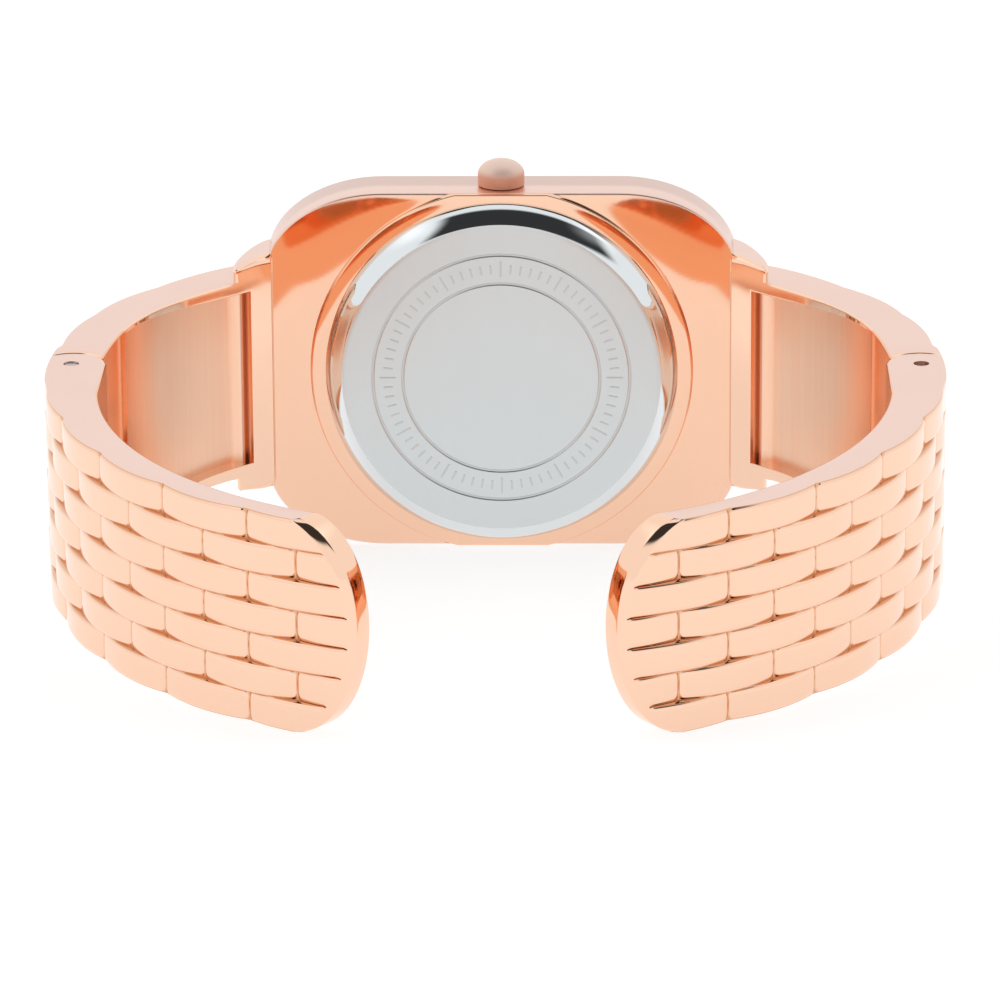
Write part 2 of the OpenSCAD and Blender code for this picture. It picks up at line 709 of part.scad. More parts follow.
module train_bridge() {
  bearings = [[0, 0], third_at, intermediate_at, rotor_at];
  color(steel) dial_frame() slab(bridge_z[0], bridge_z[1]) difference() {
    union() {
      for (at = concat(bearings, screws_at)) translate(at) circle(bridge_boss_r);
      strip([0, 0], screws_at[0], bridge_arm_w);
      strip([0, 0], screws_at[2], bridge_arm_w);
      strip([0, 0], intermediate_at, bridge_arm_w);
      strip(intermediate_at, rotor_at, bridge_arm_w);
      strip([0, 0], third_at, bridge_arm_w);
      strip(third_at, screws_at[1], bridge_arm_w);
    }
    for (at = bearings) translate(at) circle(pivot_r + run_gap);
    for (at = screws_at) translate(at) circle(screw_r + seat_gap);
  }
}
module circuit_board() {
  color(green) dial_frame() {
    slab(board_z, plate_z[0]) difference() {
      intersection() {
        circle(movement_r - rim_w - slack);
        translate([-movement_r, -movement_r / 2]) square([movement_r + board_x, movement_r]);
      }
      translate(battery_at) circle(battery_r + 2 * slack);
    }
    hole_at(chip_at, chip_r, board_z - chip_h, board_z);
  }
}
module quartz_resonator() {
  color(steel) dial_frame() translate([can_at[0], can_at[1], board_z - can_r]) rotate([-90, 0, 0])
    cylinder(r = can_r, h = can_len);
}
module coil_core() {
  color(steel) dial_frame() slab(core_z[0], core_z[1]) translate(coil_at) square(core_size, center = true);
}
module coil_winding() {
  core_h = core_z[1] - core_z[0] + 2 * seat_gap;
  color(copper) dial_frame() translate([coil_at[0], coil_at[1], (core_z[0] + core_z[1]) / 2]) difference() {
    rotate([0, 90, 0]) cylinder(r = coil_r, h = coil_len, center = true);
    cube([core_size[0], core_size[1] + 2 * seat_gap, core_h], center = true);
  }
}
module stator() {
  foot_x = [coil_at[0] - core_size[0] / 2, coil_at[0] + core_size[0] / 2 - stator_foot[0]];
  color(steel) dial_frame() slab(stator_z[0], stator_z[1]) difference() {
    union() {
      translate(rotor_at) circle(stator_eye_r);
      for (x = foot_x) translate([x, stator_bar[0]]) square(stator_foot);
      translate([rotor_at[0], stator_bar[0]])
        square([foot_x[1] + stator_foot[0] - rotor_at[0], stator_bar[1] - stator_bar[0]]);
    }
    translate(rotor_at) circle(stator_hole_r);
  }
}
module battery() {
  color(steel) dial_frame() translate([battery_at[0], battery_at[1], 0]) {
    rod(battery_cap_r, bridge_z[0], bridge_z[0] + battery_step);
    rod(battery_r, bridge_z[0] + battery_step, plate_z[0]);
  }
}
module battery_strap() {
  color(steel) dial_frame() slab(bridge_z[0] - strap_thick, bridge_z[0]) difference() {
    bar(screws_at[1], battery_at, strap_r);
    translate(screws_at[1]) circle(screw_r + seat_gap);
  }
}
module movement_screw(head_z) {
  difference() {
    union() {
      rod(screw_head_r, head_z, head_z + screw_head_h);
      rod(screw_r, head_z, screw_end);
    }
    translate([-over, -screw_slot[0] / 2, head_z - over])
      cube([2 * over, screw_slot[0], over + screw_slot[1]]);
  }
}
module movement_screws() {
  color(steel) dial_frame() for (i = [0:2]) translate(screws_at[i])
    movement_screw(bridge_z[0] - screw_head_h - (i == 1 ? strap_thick : 0));
}
module crown_tube() {
  color(steel) stem_frame() difference() {
    rod(tube_r, tube_bottom, tube_top);
    rod(stem_r + run_gap, tube_bottom - over, tube_top + over);
  }
}

// Crown, stem and setting pieces
module crown() {
  dome_z = crown_z + crown_side;
  color(rose_gold) stem_frame() difference() {
    rotate_extrude() polygon(concat(
      [[0, crown_z], [crown_r - crown_foot, crown_z], [crown_r, crown_z + crown_foot]],
      [for (i = [0:8]) let (a = 90 * i / 8) [crown_r * cos(a), dome_z + crown_dome * sin(a)]]));
    rod(crown_bore_r, crown_z - over, crown_bore_top);
    rod(stem_r + seat_gap, crown_z, stem_top);
  }
}
module crown_gasket() {
  color(black) stem_frame()
    ring(crown_bore_r - seat_gap, tube_r + run_gap, crown_z + crown_gasket_z[0], crown_z + crown_gasket_z[1]);
}
module setting_stem() {
  color(steel) stem_frame() {
    translate([0, 0, stem_end]) cylinder(r = stem_inner_r, h = square_end - stem_end, $fn = 4);
    rod(stem_inner_r, square_end, groove_z[0]);
    rod(groove_r, groove_z[0], groove_z[1]);
    rod(stem_inner_r, groove_z[1], tube_bottom);
    rod(stem_r, tube_bottom, stem_top);
  }
}
module sliding_pinion() {
  color(steel) stem_frame() difference() {
    rod(pinion_r, pinion_z[0], pinion_z[1]);
    ring(pinion_r + over, pinion_r - lever_pin_r, pinion_groove[0], pinion_groove[1]);
    translate([0, 0, pinion_z[0] - over]) cylinder(r = stem_inner_r + 2 * run_gap, h = 4 * over, $fn = 4);
    for (i = [1:pinion_teeth / 2]) rotate(i * 360 / pinion_teeth)
      translate([0, 0, pinion_z[0]]) cube([3 * pinion_r, pinion_r / 4, 2 * pinion_tooth_h], center = true);
  }
}
module setting_lever() {
  color(steel) dial_frame() {
    slab(lever_z[0], lever_z[1]) difference() {
      union() {
        bar(lever_at, lever_pin_at, lever_pin_r + 2 * slack);
        translate(lever_at) circle(2 * lever_stud_r);
      }
      translate(lever_at) circle(lever_stud_r + run_gap);
    }
    hole_at(lever_pin_at, lever_pin_r, lever_z[1], stem_depth - groove_r - slack);
  }
}

// Train wheels
module rotor() {
  turn = mesh_turn(rotor_angle, 0, intermediate_teeth, rotor_pinion);
  color(black) dial_frame() translate(rotor_at) {
    rod(rotor_magnet_r, magnet_z[0], magnet_z[1]);
    gear(rotor_pinion, module_rotor, turn,
      level_intermediate - wheel_gap, level_intermediate + wheel_thick + wheel_gap);
    arbor();
  }
}
module intermediate_wheel() {
  turn = mesh_turn(intermediate_angle, 0, seconds_teeth, intermediate_pinion);
  color(brass) dial_frame() translate(intermediate_at) {
    spoked_gear(intermediate_teeth, module_rotor, 0, level_intermediate);
    gear(intermediate_pinion, module_seconds, turn,
      level_seconds - wheel_gap, level_seconds + wheel_thick + wheel_gap);
    arbor();
  }
}
module seconds_wheel() {
  color(brass) dial_frame() {
    spoked_gear(seconds_teeth, module_seconds, 0, level_seconds);
    gear(seconds_pinion, module_third, 0, level_seconds, level_third + wheel_thick + wheel_gap);
    rod(seconds_arbor_r, bridge_z[1] + wheel_gap, hand_z[2] + hand_thick + slack);
    rod(pivot_r, bridge_z[1] + wheel_gap - pivot_len, level_seconds);
  }
}
module third_wheel() {
  turn = mesh_turn(third_angle, 0, seconds_pinion, third_teeth);
  color(brass) dial_frame() translate(third_at) {
    spoked_gear(third_teeth, module_third, turn, level_third);
    gear(third_pinion, module_centre, 0, level_third, level_centre + wheel_thick + wheel_gap);
    arbor();
  }
}
module centre_wheel() {
  turn = mesh_turn(third_angle + 180, 0, third_pinion, centre_teeth);
  color(brass) dial_frame() difference() {
    union() {
      spoked_gear(centre_teeth, module_centre, turn, level_centre);
      gear(cannon_teeth, module_minute, 0, level_minute - wheel_gap, level_minute + wheel_thick + wheel_gap);
      rod(cannon_r, level_centre, hand_z[1] + hand_thick + wheel_gap);
    }
    rod(seconds_arbor_r + run_gap, level_centre - over, front_z);
  }
}
module minute_wheel() {
  turn = mesh_turn(minute_angle, 0, cannon_teeth, minute_teeth);
  color(brass) dial_frame() translate(minute_at) difference() {
    union() {
      spoked_gear(minute_teeth, module_minute, turn, level_minute);
      gear(minute_pinion, module_hour, 0, level_minute, level_hour + wheel_thick + wheel_gap);
    }
    rod(minute_stud_r + run_gap, motion_floor, plate_z[1]);
  }
}
module hour_wheel() {
  turn = mesh_turn(minute_angle + 180, 0, minute_pinion, hour_teeth);
  color(brass) dial_frame() difference() {
    union() {
      spoked_gear(hour_teeth, module_hour, turn, level_hour);
      rod(hour_tube_r, level_hour, hand_z[0] + hand_thick + wheel_gap);
    }
    rod(cannon_r + run_gap, level_hour - over, front_z);
  }
}

// Hands, each a tapered leaf with a round hub
module hand(i, reach, bore_r) {
  w = hand_w[i];
  color(rose_gold) dial_frame() slab(hand_z[i], hand_z[i] + hand_thick) rotate(hand_turn[i]) difference() {
    union() {
      circle(hub_r[i]);
      polygon([[-hand_tail[i], -w / 3], [0.6 * reach, -w / 2], [reach, -hand_tip],
        [reach, hand_tip], [0.6 * reach, w / 2], [-hand_tail[i], w / 3]]);
    }
    circle(bore_r + seat_gap);
  }
}

module second_hand() {
  hand(2, second_hand_len, seconds_arbor_r);
}
module minute_hand() {
  hand(1, minute_hand_len, cannon_r);
}
module hour_hand() {
  hand(0, hour_hand_len, hour_tube_r);
}

// Arms, pins and springs on their two sides
module left_fixed_arm() {
  color(rose_gold) place() left_half() fixed_arm();
}
module right_fixed_arm() {
  color(rose_gold) place() fixed_arm();
}
module left_cuff_arm() {
  color(rose_gold) place() left_half() cuff_arm();
}
module right_cuff_arm() {
  color(rose_gold) place() cuff_arm();
}
module left_hinge_pin() {
  color(steel) place() left_half() hinge_pin(pin_sink[0]);
}
module right_hinge_pin() {
  color(steel) place() hinge_pin(pin_sink[1]);
}
module left_hinge_spring() {
  color(steel) place() left_half() hinge_spring();
}
module right_hinge_spring() {
  color(steel) place() hinge_spring();
}

case_middle();
bezel();
crystal();
crystal_gasket();
case_back();
case_back_gasket();
dial();
dial_ring();
hour_markers();
movement_holder();
main_plate();
train_bridge();
circuit_board();
quartz_resonator();
coil_core();
coil_winding();
stator();
battery();
battery_strap();
movement_screws();
crown_tube();
left_fixed_arm();
right_fixed_arm();
left_cuff_arm();
right_cuff_arm();
left_hinge_pin();
right_hinge_pin();
left_hinge_spring();
right_hinge_spring();
crown();
crown_gasket();
setting_stem();
sliding_pinion();
setting_lever();
rotor();
intermediate_wheel();
seconds_wheel();
third_wheel();
centre_wheel();
minute_wheel();
hour_wheel();
second_hand();
minute_hand();
hour_hand();
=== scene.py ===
# Bangle watch seen from behind: cushion-shaped head, two fixed arms and two hinged cuff arms.
import json
import math

import bmesh
import bpy
from mathutils import Matrix, Vector

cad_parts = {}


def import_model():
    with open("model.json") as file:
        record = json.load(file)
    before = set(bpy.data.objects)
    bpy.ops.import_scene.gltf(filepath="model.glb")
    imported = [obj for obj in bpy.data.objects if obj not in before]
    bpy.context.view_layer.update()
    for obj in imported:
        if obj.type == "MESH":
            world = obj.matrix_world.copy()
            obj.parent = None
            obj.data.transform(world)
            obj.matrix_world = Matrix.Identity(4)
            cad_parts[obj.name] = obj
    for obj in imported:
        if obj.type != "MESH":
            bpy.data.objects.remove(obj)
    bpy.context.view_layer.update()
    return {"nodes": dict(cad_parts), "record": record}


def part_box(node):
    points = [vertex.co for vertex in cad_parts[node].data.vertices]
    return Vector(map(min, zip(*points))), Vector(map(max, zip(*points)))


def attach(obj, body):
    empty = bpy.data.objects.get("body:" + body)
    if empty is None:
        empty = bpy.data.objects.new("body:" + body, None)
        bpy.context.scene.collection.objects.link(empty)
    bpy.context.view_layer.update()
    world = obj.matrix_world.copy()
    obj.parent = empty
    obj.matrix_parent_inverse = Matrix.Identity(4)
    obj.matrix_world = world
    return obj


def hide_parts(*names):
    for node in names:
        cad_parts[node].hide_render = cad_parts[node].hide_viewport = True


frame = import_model()
scene = bpy.context.scene

# Lengths below are in millimetres, counted from the hinge line at the middle of the band's height
mm = 0.001
pinLow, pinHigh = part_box("right_hinge_pin")
hingeX = (pinLow[0] + pinHigh[0]) / 2 / mm
originY = (pinLow[1] + pinHigh[1]) / 2
originZ = (pinLow[2] + pinHigh[2]) / 2
print("frame loaded, hinge line at", round(hingeX, 3), "mm")


def place(x, y, z):
    return Vector((x * mm, originY + y * mm, originZ + z * mm))


def nodeBox(node):  # a CAD node's corners, in the millimetres used here
    low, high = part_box(node)
    shift = (0, originY, originZ)
    return [[(corner[i] - shift[i]) / mm for i in range(3)] for corner in (low, high)]


def rad(degrees):
    return math.radians(degrees)


def polar(radius, turn):  # the point at a distance from the middle, in a direction
    return radius * math.cos(rad(turn)), radius * math.sin(rad(turn))


def between(first, last, count):  # evenly spaced values, both ends included
    return [first + (last - first) * i / count for i in range(count + 1)]


def shareOf(value, low, high):  # straight step from 0 at low to 1 at high
    return min(max((value - low) / (high - low), 0), 1)


def smooth(value, low, high):  # soft step from 0 at low to 1 at high
    share = shareOf(value, low, high)
    return share * share * (3 - 2 * share)


def rounding(room, radius):  # drop of a rounded edge, at a distance from its face's border
    share = min(max((radius - room) / radius, 0), 1)
    return radius * (1 - math.sqrt(1 - share * share))


# Helpers for node trees
class Term:  # one value in a node tree, so that formulas can be written out
    def __init__(self, tree, value):
        self.tree = tree
        self.value = value

    def do(self, operation, *others):
        return calc(self.tree, operation, self, *others)

    def back(self, operation, other):
        return calc(self.tree, operation, other, self)

    def held(self, low, high):
        return self.do("MAXIMUM", low).do("MINIMUM", high)

    __add__ = lambda self, other: self.do("ADD", other)
    __radd__ = lambda self, other: self.back("ADD", other)
    __sub__ = lambda self, other: self.do("SUBTRACT", other)
    __rsub__ = lambda self, other: self.back("SUBTRACT", other)
    __mul__ = lambda self, other: self.do("MULTIPLY", other)
    __rmul__ = lambda self, other: self.back("MULTIPLY", other)
    __truediv__ = lambda self, other: self.do("DIVIDE", other)


def feed(tree, socket, item):
    if isinstance(item, Term):
        item = item.value
    if isinstance(item, bpy.types.NodeSocket):
        tree.links.new(item, socket)
    else:
        socket.default_value = item


def calc(tree, operation, *items):
    node = tree.nodes.new("ShaderNodeMath")
    node.operation = operation
    for socket, item in zip(node.inputs, items):
        feed(tree, socket, item)
    return Term(tree, node.outputs[0])


def newTree(name, kind, inputs, outputs):  # inputs: kind of socket and its value; outputs: kind of socket
    tree = bpy.data.node_groups.new(name, kind)
    for label, (socketKind, value) in inputs.items():
        socket = tree.interface.new_socket(label, in_out="INPUT", socket_type="NodeSocket" + socketKind)
        if value is not None:
            socket.default_value = value
    for label, socketKind in outputs.items():
        tree.interface.new_socket(label, in_out="OUTPUT", socket_type="NodeSocket" + socketKind)
    start = tree.nodes.new("NodeGroupInput")
    end = tree.nodes.new("NodeGroupOutput")
    return tree, start.outputs, end.inputs


def add(tree, kind, inputs=None, **settings):
    node = tree.nodes.new(kind)
    for key, value in settings.items():
        setattr(node, key, value)
    for key, item in (inputs or {}).items():
        feed(tree, node.inputs[key], item)
    return node


def named(tree, label):  # a stored attribute of the mesh
    return Term(tree, add(tree, "GeometryNodeInputNamedAttribute", {"Name": label}, data_type="FLOAT").outputs[0])


def blankTree(owner):  # the emptied node tree of a new material or world
    owner.use_nodes = True
    owner.node_tree.nodes.clear()
    return owner.node_tree


def closeTree(tree, end, made, mat):  # the end of a geometry tree: plain mesh with one material
    real = add(tree, "GeometryNodeRealizeInstances", {"Geometry": made.outputs[0]})
    done = add(tree, "GeometryNodeSetMaterial", {"Geometry": real.outputs[0], "Material": mat})
    feed(tree, end["Geometry"], done.outputs[0])
    return tree


def blend(tree, share, first, second):  # a colour between two others
    node = add(tree, "ShaderNodeMix", data_type="RGBA")
    for socket, item in ((0, share), (6, first), (7, second)):
        feed(tree, node.inputs[socket], item)
    return node.outputs[2]


# Helpers for meshes
def newObject(name, mesh):
    obj = bpy.data.objects.new(name, mesh)
    scene.collection.objects.link(obj)
    return obj


def finished(name, mesh, *mats):
    for mat in mats:
        mesh.materials.append(mat)
    return newObject(name, mesh)


def skin(bm, low, high):  # the quads between two closed rings of points
    after = [(i + 1) % len(low) for i in range(len(low))]
    return [bm.faces.new((low[i], low[k], high[k], high[i])) for i, k in enumerate(after)]


def toMesh(bm, name):
    mesh = bpy.data.meshes.new(name)
    bm.to_mesh(mesh)
    bm.free()
    return mesh


def finishMesh(bm, name, sharp=35):
    bmesh.ops.recalc_face_normals(bm, faces=bm.faces)
    for face in bm.faces:
        face.smooth = True
    mesh = toMesh(bm, name)
    mesh.set_sharp_from_angle(angle=rad(sharp))
    return mesh


def shell(name, rings, closed=False, finishes=None, sharp=35):
    # Quads between neighbouring rings; a ring of one point is a pole
    bm = bmesh.new()
    verts = [[bm.verts.new(point) for point in ring] for ring in rings]
    pairs = list(zip(verts, verts[1:]))
    if closed:
        pairs.append((verts[-1], verts[0]))
    for step, (a, b) in enumerate(pairs):
        count = max(len(a), len(b))
        for i in range(count):
            corners = []
            for vert in (a[i % len(a)], a[(i + 1) % len(a)], b[(i + 1) % len(b)], b[i % len(b)]):
                if vert not in corners:
                    corners.append(vert)
            if len(corners) > 2:
                face = bm.faces.new(corners)
                face.material_index = finishes[step] if finishes else 0
    bmesh.ops.remove_doubles(bm, verts=bm.verts, dist=1e-7)
    return finishMesh(bm, name, sharp)


def turned(name, profile, centre, axis, count=96, finishes=None, sharp=35, closed=False):
    # profile: (radius, height) from one end to the other, turned about an axis along Y or Z
    rings = []
    for radius, height in profile:
        ring = []
        for i in range(count if radius > 0 else 1):
            a = 2 * math.pi * i / count
            u, v = radius * math.cos(a), radius * math.sin(a)
            spot = (v, height, u) if axis == "Y" else (u, v, height)
            ring.append(place(*(c + s for c, s in zip(centre, spot))))
        rings.append(ring)
    return shell(name, rings, closed, finishes, sharp)


def cushion(angle, halfX, halfZ, cornerX, cornerZ):
    # Distance from the middle of a rectangle with elliptical corners to its edge, in one direction
    c, s = abs(math.cos(angle)), abs(math.sin(angle))
    flat = min(halfX / c if c > 1e-9 else 1e9, halfZ / s if s > 1e-9 else 1e9)
    cx, cz = halfX - cornerX, halfZ - cornerZ
    if flat * c > cx and flat * s > cz:
        p = (c / cornerX) ** 2 + (s / cornerZ) ** 2
        q = cx * c / cornerX ** 2 + cz * s / cornerZ ** 2
        return (q + math.sqrt(max(q * q - p * ((cx / cornerX) ** 2 + (cz / cornerZ) ** 2 - 1), 0))) / p
    return flat


def cushionAngles(halfX, halfZ, cornerX, cornerZ, cornerSteps=20, sideSteps=44, extra=()):
    # Directions with points gathered in the corners, the same for every ring of a piece
    cx, cz = halfX - cornerX, halfZ - cornerZ
    points = []
    for sx, sz, first in ((1, 1, 0), (-1, 1, 90), (-1, -1, 180), (1, -1, 270)):
        for i in range(cornerSteps + 1):
            a = rad(first + 90 * i / cornerSteps)
            points.append((sx * cx + cornerX * math.cos(a), sz * cz + cornerZ * math.sin(a)))
    angles = []
    for (x0, z0), (x1, z1) in zip(points, points[1:] + points[:1]):
        steps = sideSteps if math.hypot(x1 - x0, z1 - z0) > cornerZ else 1
        angles += [math.atan2(z, x) for x, z in zip(between(x0, x1, steps)[:-1], between(z0, z1, steps))]
    for x, z in extra:
        angles += [math.atan2(sz * z, sx * x) for sx in (-1, 1) for sz in (-1, 1)]
    angles = sorted(a % (2 * math.pi) for a in angles)
    return [a for i, a in enumerate(angles) if i == 0 or a - angles[i - 1] > 1e-5]


def mirrored(obj, name):
    mesh = obj.data.copy()
    mesh.name = name
    mesh.transform(Matrix.Diagonal((-1, 1, 1, 1)))
    bm = bmesh.new()
    bm.from_mesh(mesh)
    bmesh.ops.recalc_face_normals(bm, faces=bm.faces)
    bm.to_mesh(mesh)
    bm.free()
    return newObject(name, mesh)


def grown(obj, tree, values):  # runs a geometry tree on a piece and keeps the plain mesh
    modifier = obj.modifiers.new(tree.name, "NODES")
    modifier.node_group = tree
    for item in tree.interface.items_tree:
        if item.item_type == "SOCKET" and item.in_out == "INPUT" and item.name in values:
            modifier[item.identifier] = values[item.name]
    seen = obj.evaluated_get(bpy.context.evaluated_depsgraph_get())
    mesh = bpy.data.meshes.new_from_object(seen)
    mesh.name = obj.name
    obj.modifiers.remove(modifier)
    obj.data = mesh
    return obj


# Finishes that several materials share
def roughSpan(tree, start, value):  # roughness between a group's two values
    low, high = Term(tree, start["Rough Low"]), Term(tree, start["Rough High"])
    return low + (high - low) * value


def grainGroup():
    # Fine parallel scratches: Stretch is the scale along and across the brushing
    tree, start, end = newTree("Brushed grain", "ShaderNodeTree", {
        "Vector": ("Vector", None), "Stretch": ("Vector", (900, 900, 20)),
        "Rough Low": ("Float", 0.25), "Rough High": ("Float", 0.35)},
        {"Roughness": "Float", "Height": "Float"})
    scaled = add(tree, "ShaderNodeVectorMath", {0: start["Vector"], 1: start["Stretch"]}, operation="MULTIPLY")
    lines = add(tree, "ShaderNodeTexNoise",
                {"Vector": scaled.outputs[0], "Scale": 1.0, "Detail": 4.0, "Roughness": 0.6})
    feed(tree, end["Height"], lines.outputs["Fac"])
    feed(tree, end["Roughness"], roughSpan(tree, start, lines.outputs["Fac"]))
    return tree


def toneGroup():
    # Slow change of plating tone and of the film left by handling
    tree, start, end = newTree("Plating tone", "ShaderNodeTree", {
        "Vector": ("Vector", None), "Colour": ("Color", (0.9, 0.6, 0.45, 1)),
        "Second Colour": ("Color", (0.85, 0.55, 0.4, 1)), "Scale": ("Float", 120.0),
        "Rough Low": ("Float", 0.08), "Rough High": ("Float", 0.14)},
        {"Colour": "Color", "Roughness": "Float", "Height": "Float"})
    cloud = add(tree, "ShaderNodeTexNoise", {"Vector": start["Vector"], "Scale": start["Scale"], "Detail": 3.0})
    feed(tree, end["Colour"], blend(tree, cloud.outputs["Fac"], start["Colour"], start["Second Colour"]))
    fine = Term(tree, start["Scale"]) * 7.3
    film = add(tree, "ShaderNodeTexNoise", {"Vector": start["Vector"], "Scale": fine, "Detail": 5.0})
    feed(tree, end["Roughness"], roughSpan(tree, start, film.outputs["Fac"]))
    feed(tree, end["Height"], cloud.outputs["Fac"])
    return tree


grain = grainGroup()
tone = toneGroup()


def material(name, colour, second, rough, metallic=1.0, toneScale=120.0, brush=None, bump=0.02, extra=None,
             groove=None, streak=None):
    # rough: lowest and highest roughness; brush: how fine the scratches are along x, y and z, with streak as their
    # colour; groove: painted shade colour, mixed in where the piece's groove attribute is 1; extra: plain values for
    # the shader's own sockets
    mat = bpy.data.materials.new(name)
    tree = blankTree(mat)
    common = {"Vector": tree.nodes.new("ShaderNodeTexCoord").outputs["Object"],
              "Rough Low": rough[0], "Rough High": rough[1]}
    plate = add(tree, "ShaderNodeGroup", {**common, "Colour": (*colour, 1), "Second Colour": (*second, 1),
                                          "Scale": toneScale}, node_tree=tone).outputs
    shown, gloss, height = plate["Colour"], plate["Roughness"], plate["Height"]
    if groove:
        # Painted shade: the base colour darkens towards the groove colour where the groove attribute is high
        paintedShade = add(tree, "ShaderNodeAttribute", attribute_name="groove")
        shown = blend(tree, paintedShade.outputs["Fac"], shown, (*groove, 1))
    if brush:
        lines = add(tree, "ShaderNodeGroup", {**common, "Stretch": brush}, node_tree=grain).outputs
        gloss, height = lines["Roughness"], lines["Height"]
    if streak:
        shown = blend(tree, height, shown, (*streak, 1))
    relief = add(tree, "ShaderNodeBump", {"Height": height, "Strength": bump, "Distance": 0.0002})
    shader = add(tree, "ShaderNodeBsdfPrincipled", {"Base Color": shown, "Roughness": gloss, "Metallic": metallic,
                                                    "Normal": relief.outputs[0], **(extra or {})})
    add(tree, "ShaderNodeOutputMaterial", {"Surface": shader.outputs[0]})
    return mat


rose, satinRose = ((0.97, 0.66, 0.49), (0.95, 0.63, 0.46)), ((0.90, 0.66, 0.57), (0.87, 0.62, 0.53))
# A brighter copy of the rose gold for the sunk panels: painted light that makes up for the shade in their recess
litPanelRose = ((1.0, 0.72, 0.53), (1.0, 0.70, 0.51))
rosePolished = material("rose gold polished", *rose, (0.03, 0.06), toneScale=90, bump=0.01)
# The bricks' groove colour is painted shade, darkening their joints and row lines
roseBricks = material("rose gold bricks", *rose, (0.04, 0.08), toneScale=90, bump=0.01, groove=(0.72, 0.40, 0.24))
# A deeper orange copy of the rose gold for the arms' inner sides: painted reflection of the rose-gold surfaces they
# face
roseInsideReflected = material("rose gold inner side", (0.93, 0.50, 0.30), (0.91, 0.47, 0.27), (0.04, 0.08), toneScale=90,
                      bump=0.01)
# The crown's pale dome colour is a painted highlight, and its deeper copper side colour is painted shade and reflection
roseCrown = material("rose gold crown", (1.0, 0.76, 0.64), (0.98, 0.72, 0.60), (0.44, 0.50), metallic=0.25,
                     toneScale=400, groove=(0.92, 0.42, 0.27))
roseSatin = material("rose gold satin rim", *satinRose, (0.28, 0.34), brush=(2500, 2500, 2500))
roseBrushed = material("rose gold brushed panel", *litPanelRose, (0.26, 0.34), brush=(2600, 2600, 40), bump=0.03,
                       streak=(0.98, 0.58, 0.41))
rosePlate = material("rose gold back plate", (0.94, 0.61, 0.44), (0.92, 0.585, 0.415), (0.04, 0.08), toneScale=60,
                     bump=0.01)
steelSatin = material("steel satin", (0.675, 0.725, 0.74), (0.655, 0.705, 0.72), (0.34, 0.40), brush=(1500, 1500, 60))
steelPolished = material("steel polished", (0.76, 0.80, 0.82), (0.73, 0.77, 0.79), (0.04, 0.08), bump=0.01)
steelEngraved = material("steel engraving", (0.62, 0.65, 0.66), (0.58, 0.61, 0.62), (0.35, 0.45))
steelPlain = material("steel plain", (0.55, 0.56, 0.57), (0.50, 0.51, 0.52), (0.2, 0.32), toneScale=400, bump=0.03)
brassSatin = material("brass satin", (0.80, 0.62, 0.30), (0.74, 0.56, 0.26), (0.22, 0.34), toneScale=300, bump=0.03)
sealRubber = material("black seal", (0.02, 0.02, 0.022), (0.03, 0.03, 0.03), (0.45, 0.6), metallic=0, toneScale=600,
                      bump=0.05)
dialLacquer = material("dial lacquer", (0.97, 0.96, 0.93), (0.94, 0.93, 0.90), (0.28, 0.4), metallic=0, toneScale=80,
                       extra={"Coat Weight": 0.4})
dialInk = material("dial ink", (0.09, 0.07, 0.06), (0.12, 0.09, 0.08), (0.4, 0.5), metallic=0, toneScale=900)
holderPlastic = material("holder plastic", (0.80, 0.79, 0.75), (0.76, 0.75, 0.70), (0.4, 0.55), metallic=0,
                         toneScale=500)
boardGreen = material("board solder mask", (0.03, 0.13, 0.06), (0.04, 0.17, 0.08), (0.3, 0.4), metallic=0,
                      toneScale=700)
copperWire = material("enamelled copper wire", (0.70, 0.27, 0.11), (0.62, 0.22, 0.09), (0.22, 0.34), toneScale=900,
                      extra={"Coat Weight": 0.5})
magnetDark = material("dark magnet", (0.14, 0.14, 0.15), (0.18, 0.18, 0.19), (0.35, 0.5), toneScale=800)
crystalGlass = material("mineral crystal", (0.995, 0.998, 1.0), (0.99, 0.995, 0.998), (0.0, 0.02), metallic=0,
                        bump=0.0, extra={"Transmission Weight": 1.0, "IOR": 1.5})
print("materials made")

# The band: outline in plan, rows of bricks, hinge and tips
band = {
    "radius": 32.3, "reach": 35.2, "middleY": -1.5, "innerRadius": 28.5, "ovalX": 28.3, "ovalY": 30.8,
    "ovalMiddleY": -4.0, "halfHeight": 7.7, "rows": 7, "pitch": 13.8, "firstJoint": -59.06,
    "crown": 0.4, "gap": 0.04, "edge": 0.22, "corner": 0.35, "groove": 0.02, "rimEdge": 0.16,
    "knuckle": 2.45, "knuckleCut": 2.53, "barrelHalf": 3.3, "slotHalf": 3.35, "bore": 0.57,
    "chamber": (1.25, 2.55), "tipEdge": (8.0, 3.97, 7.72), "tipCrease": (8.95, 4.6, 7.8), "tipRow": (9.4, 6.8, 8.6),
    "tipRun": (0.42, 0.58), "tipFlat": 5.5, "tipBevel": 0.42, "tipBevelCurve": 1.15, "tipBulge": 0.07,
    "rowFade": 0.35, "grooveShadeReach": 0.06,
    "swell": 0.4, "swellTurns": (7, 46), "fixedRelief": 0.5, "fixedFade": (8.5, 11), "cuffFade": (3, 10),
}
rowHeight = 2 * band["halfHeight"] / band["rows"]
degreesPerMm = math.degrees(1 / band["radius"])
edgeSteps = (0, 0.016, 0.05, 0.1, 0.17, 0.27, 0.42)  # distances from a joint at which the mesh has a line


def swell(turn):  # the fixed arms bulge a little between the hinge and the case
    return band["swell"] * math.sin(math.pi * shareOf(turn, *band["swellTurns"])) ** 2


def reliefShare(turn):  # bricks fade out at the hinge and are lower on the fixed arms
    if turn > 0:
        return band["fixedRelief"] * smooth(turn, *band["fixedFade"])
    return smooth(-turn, *band["cuffFade"])


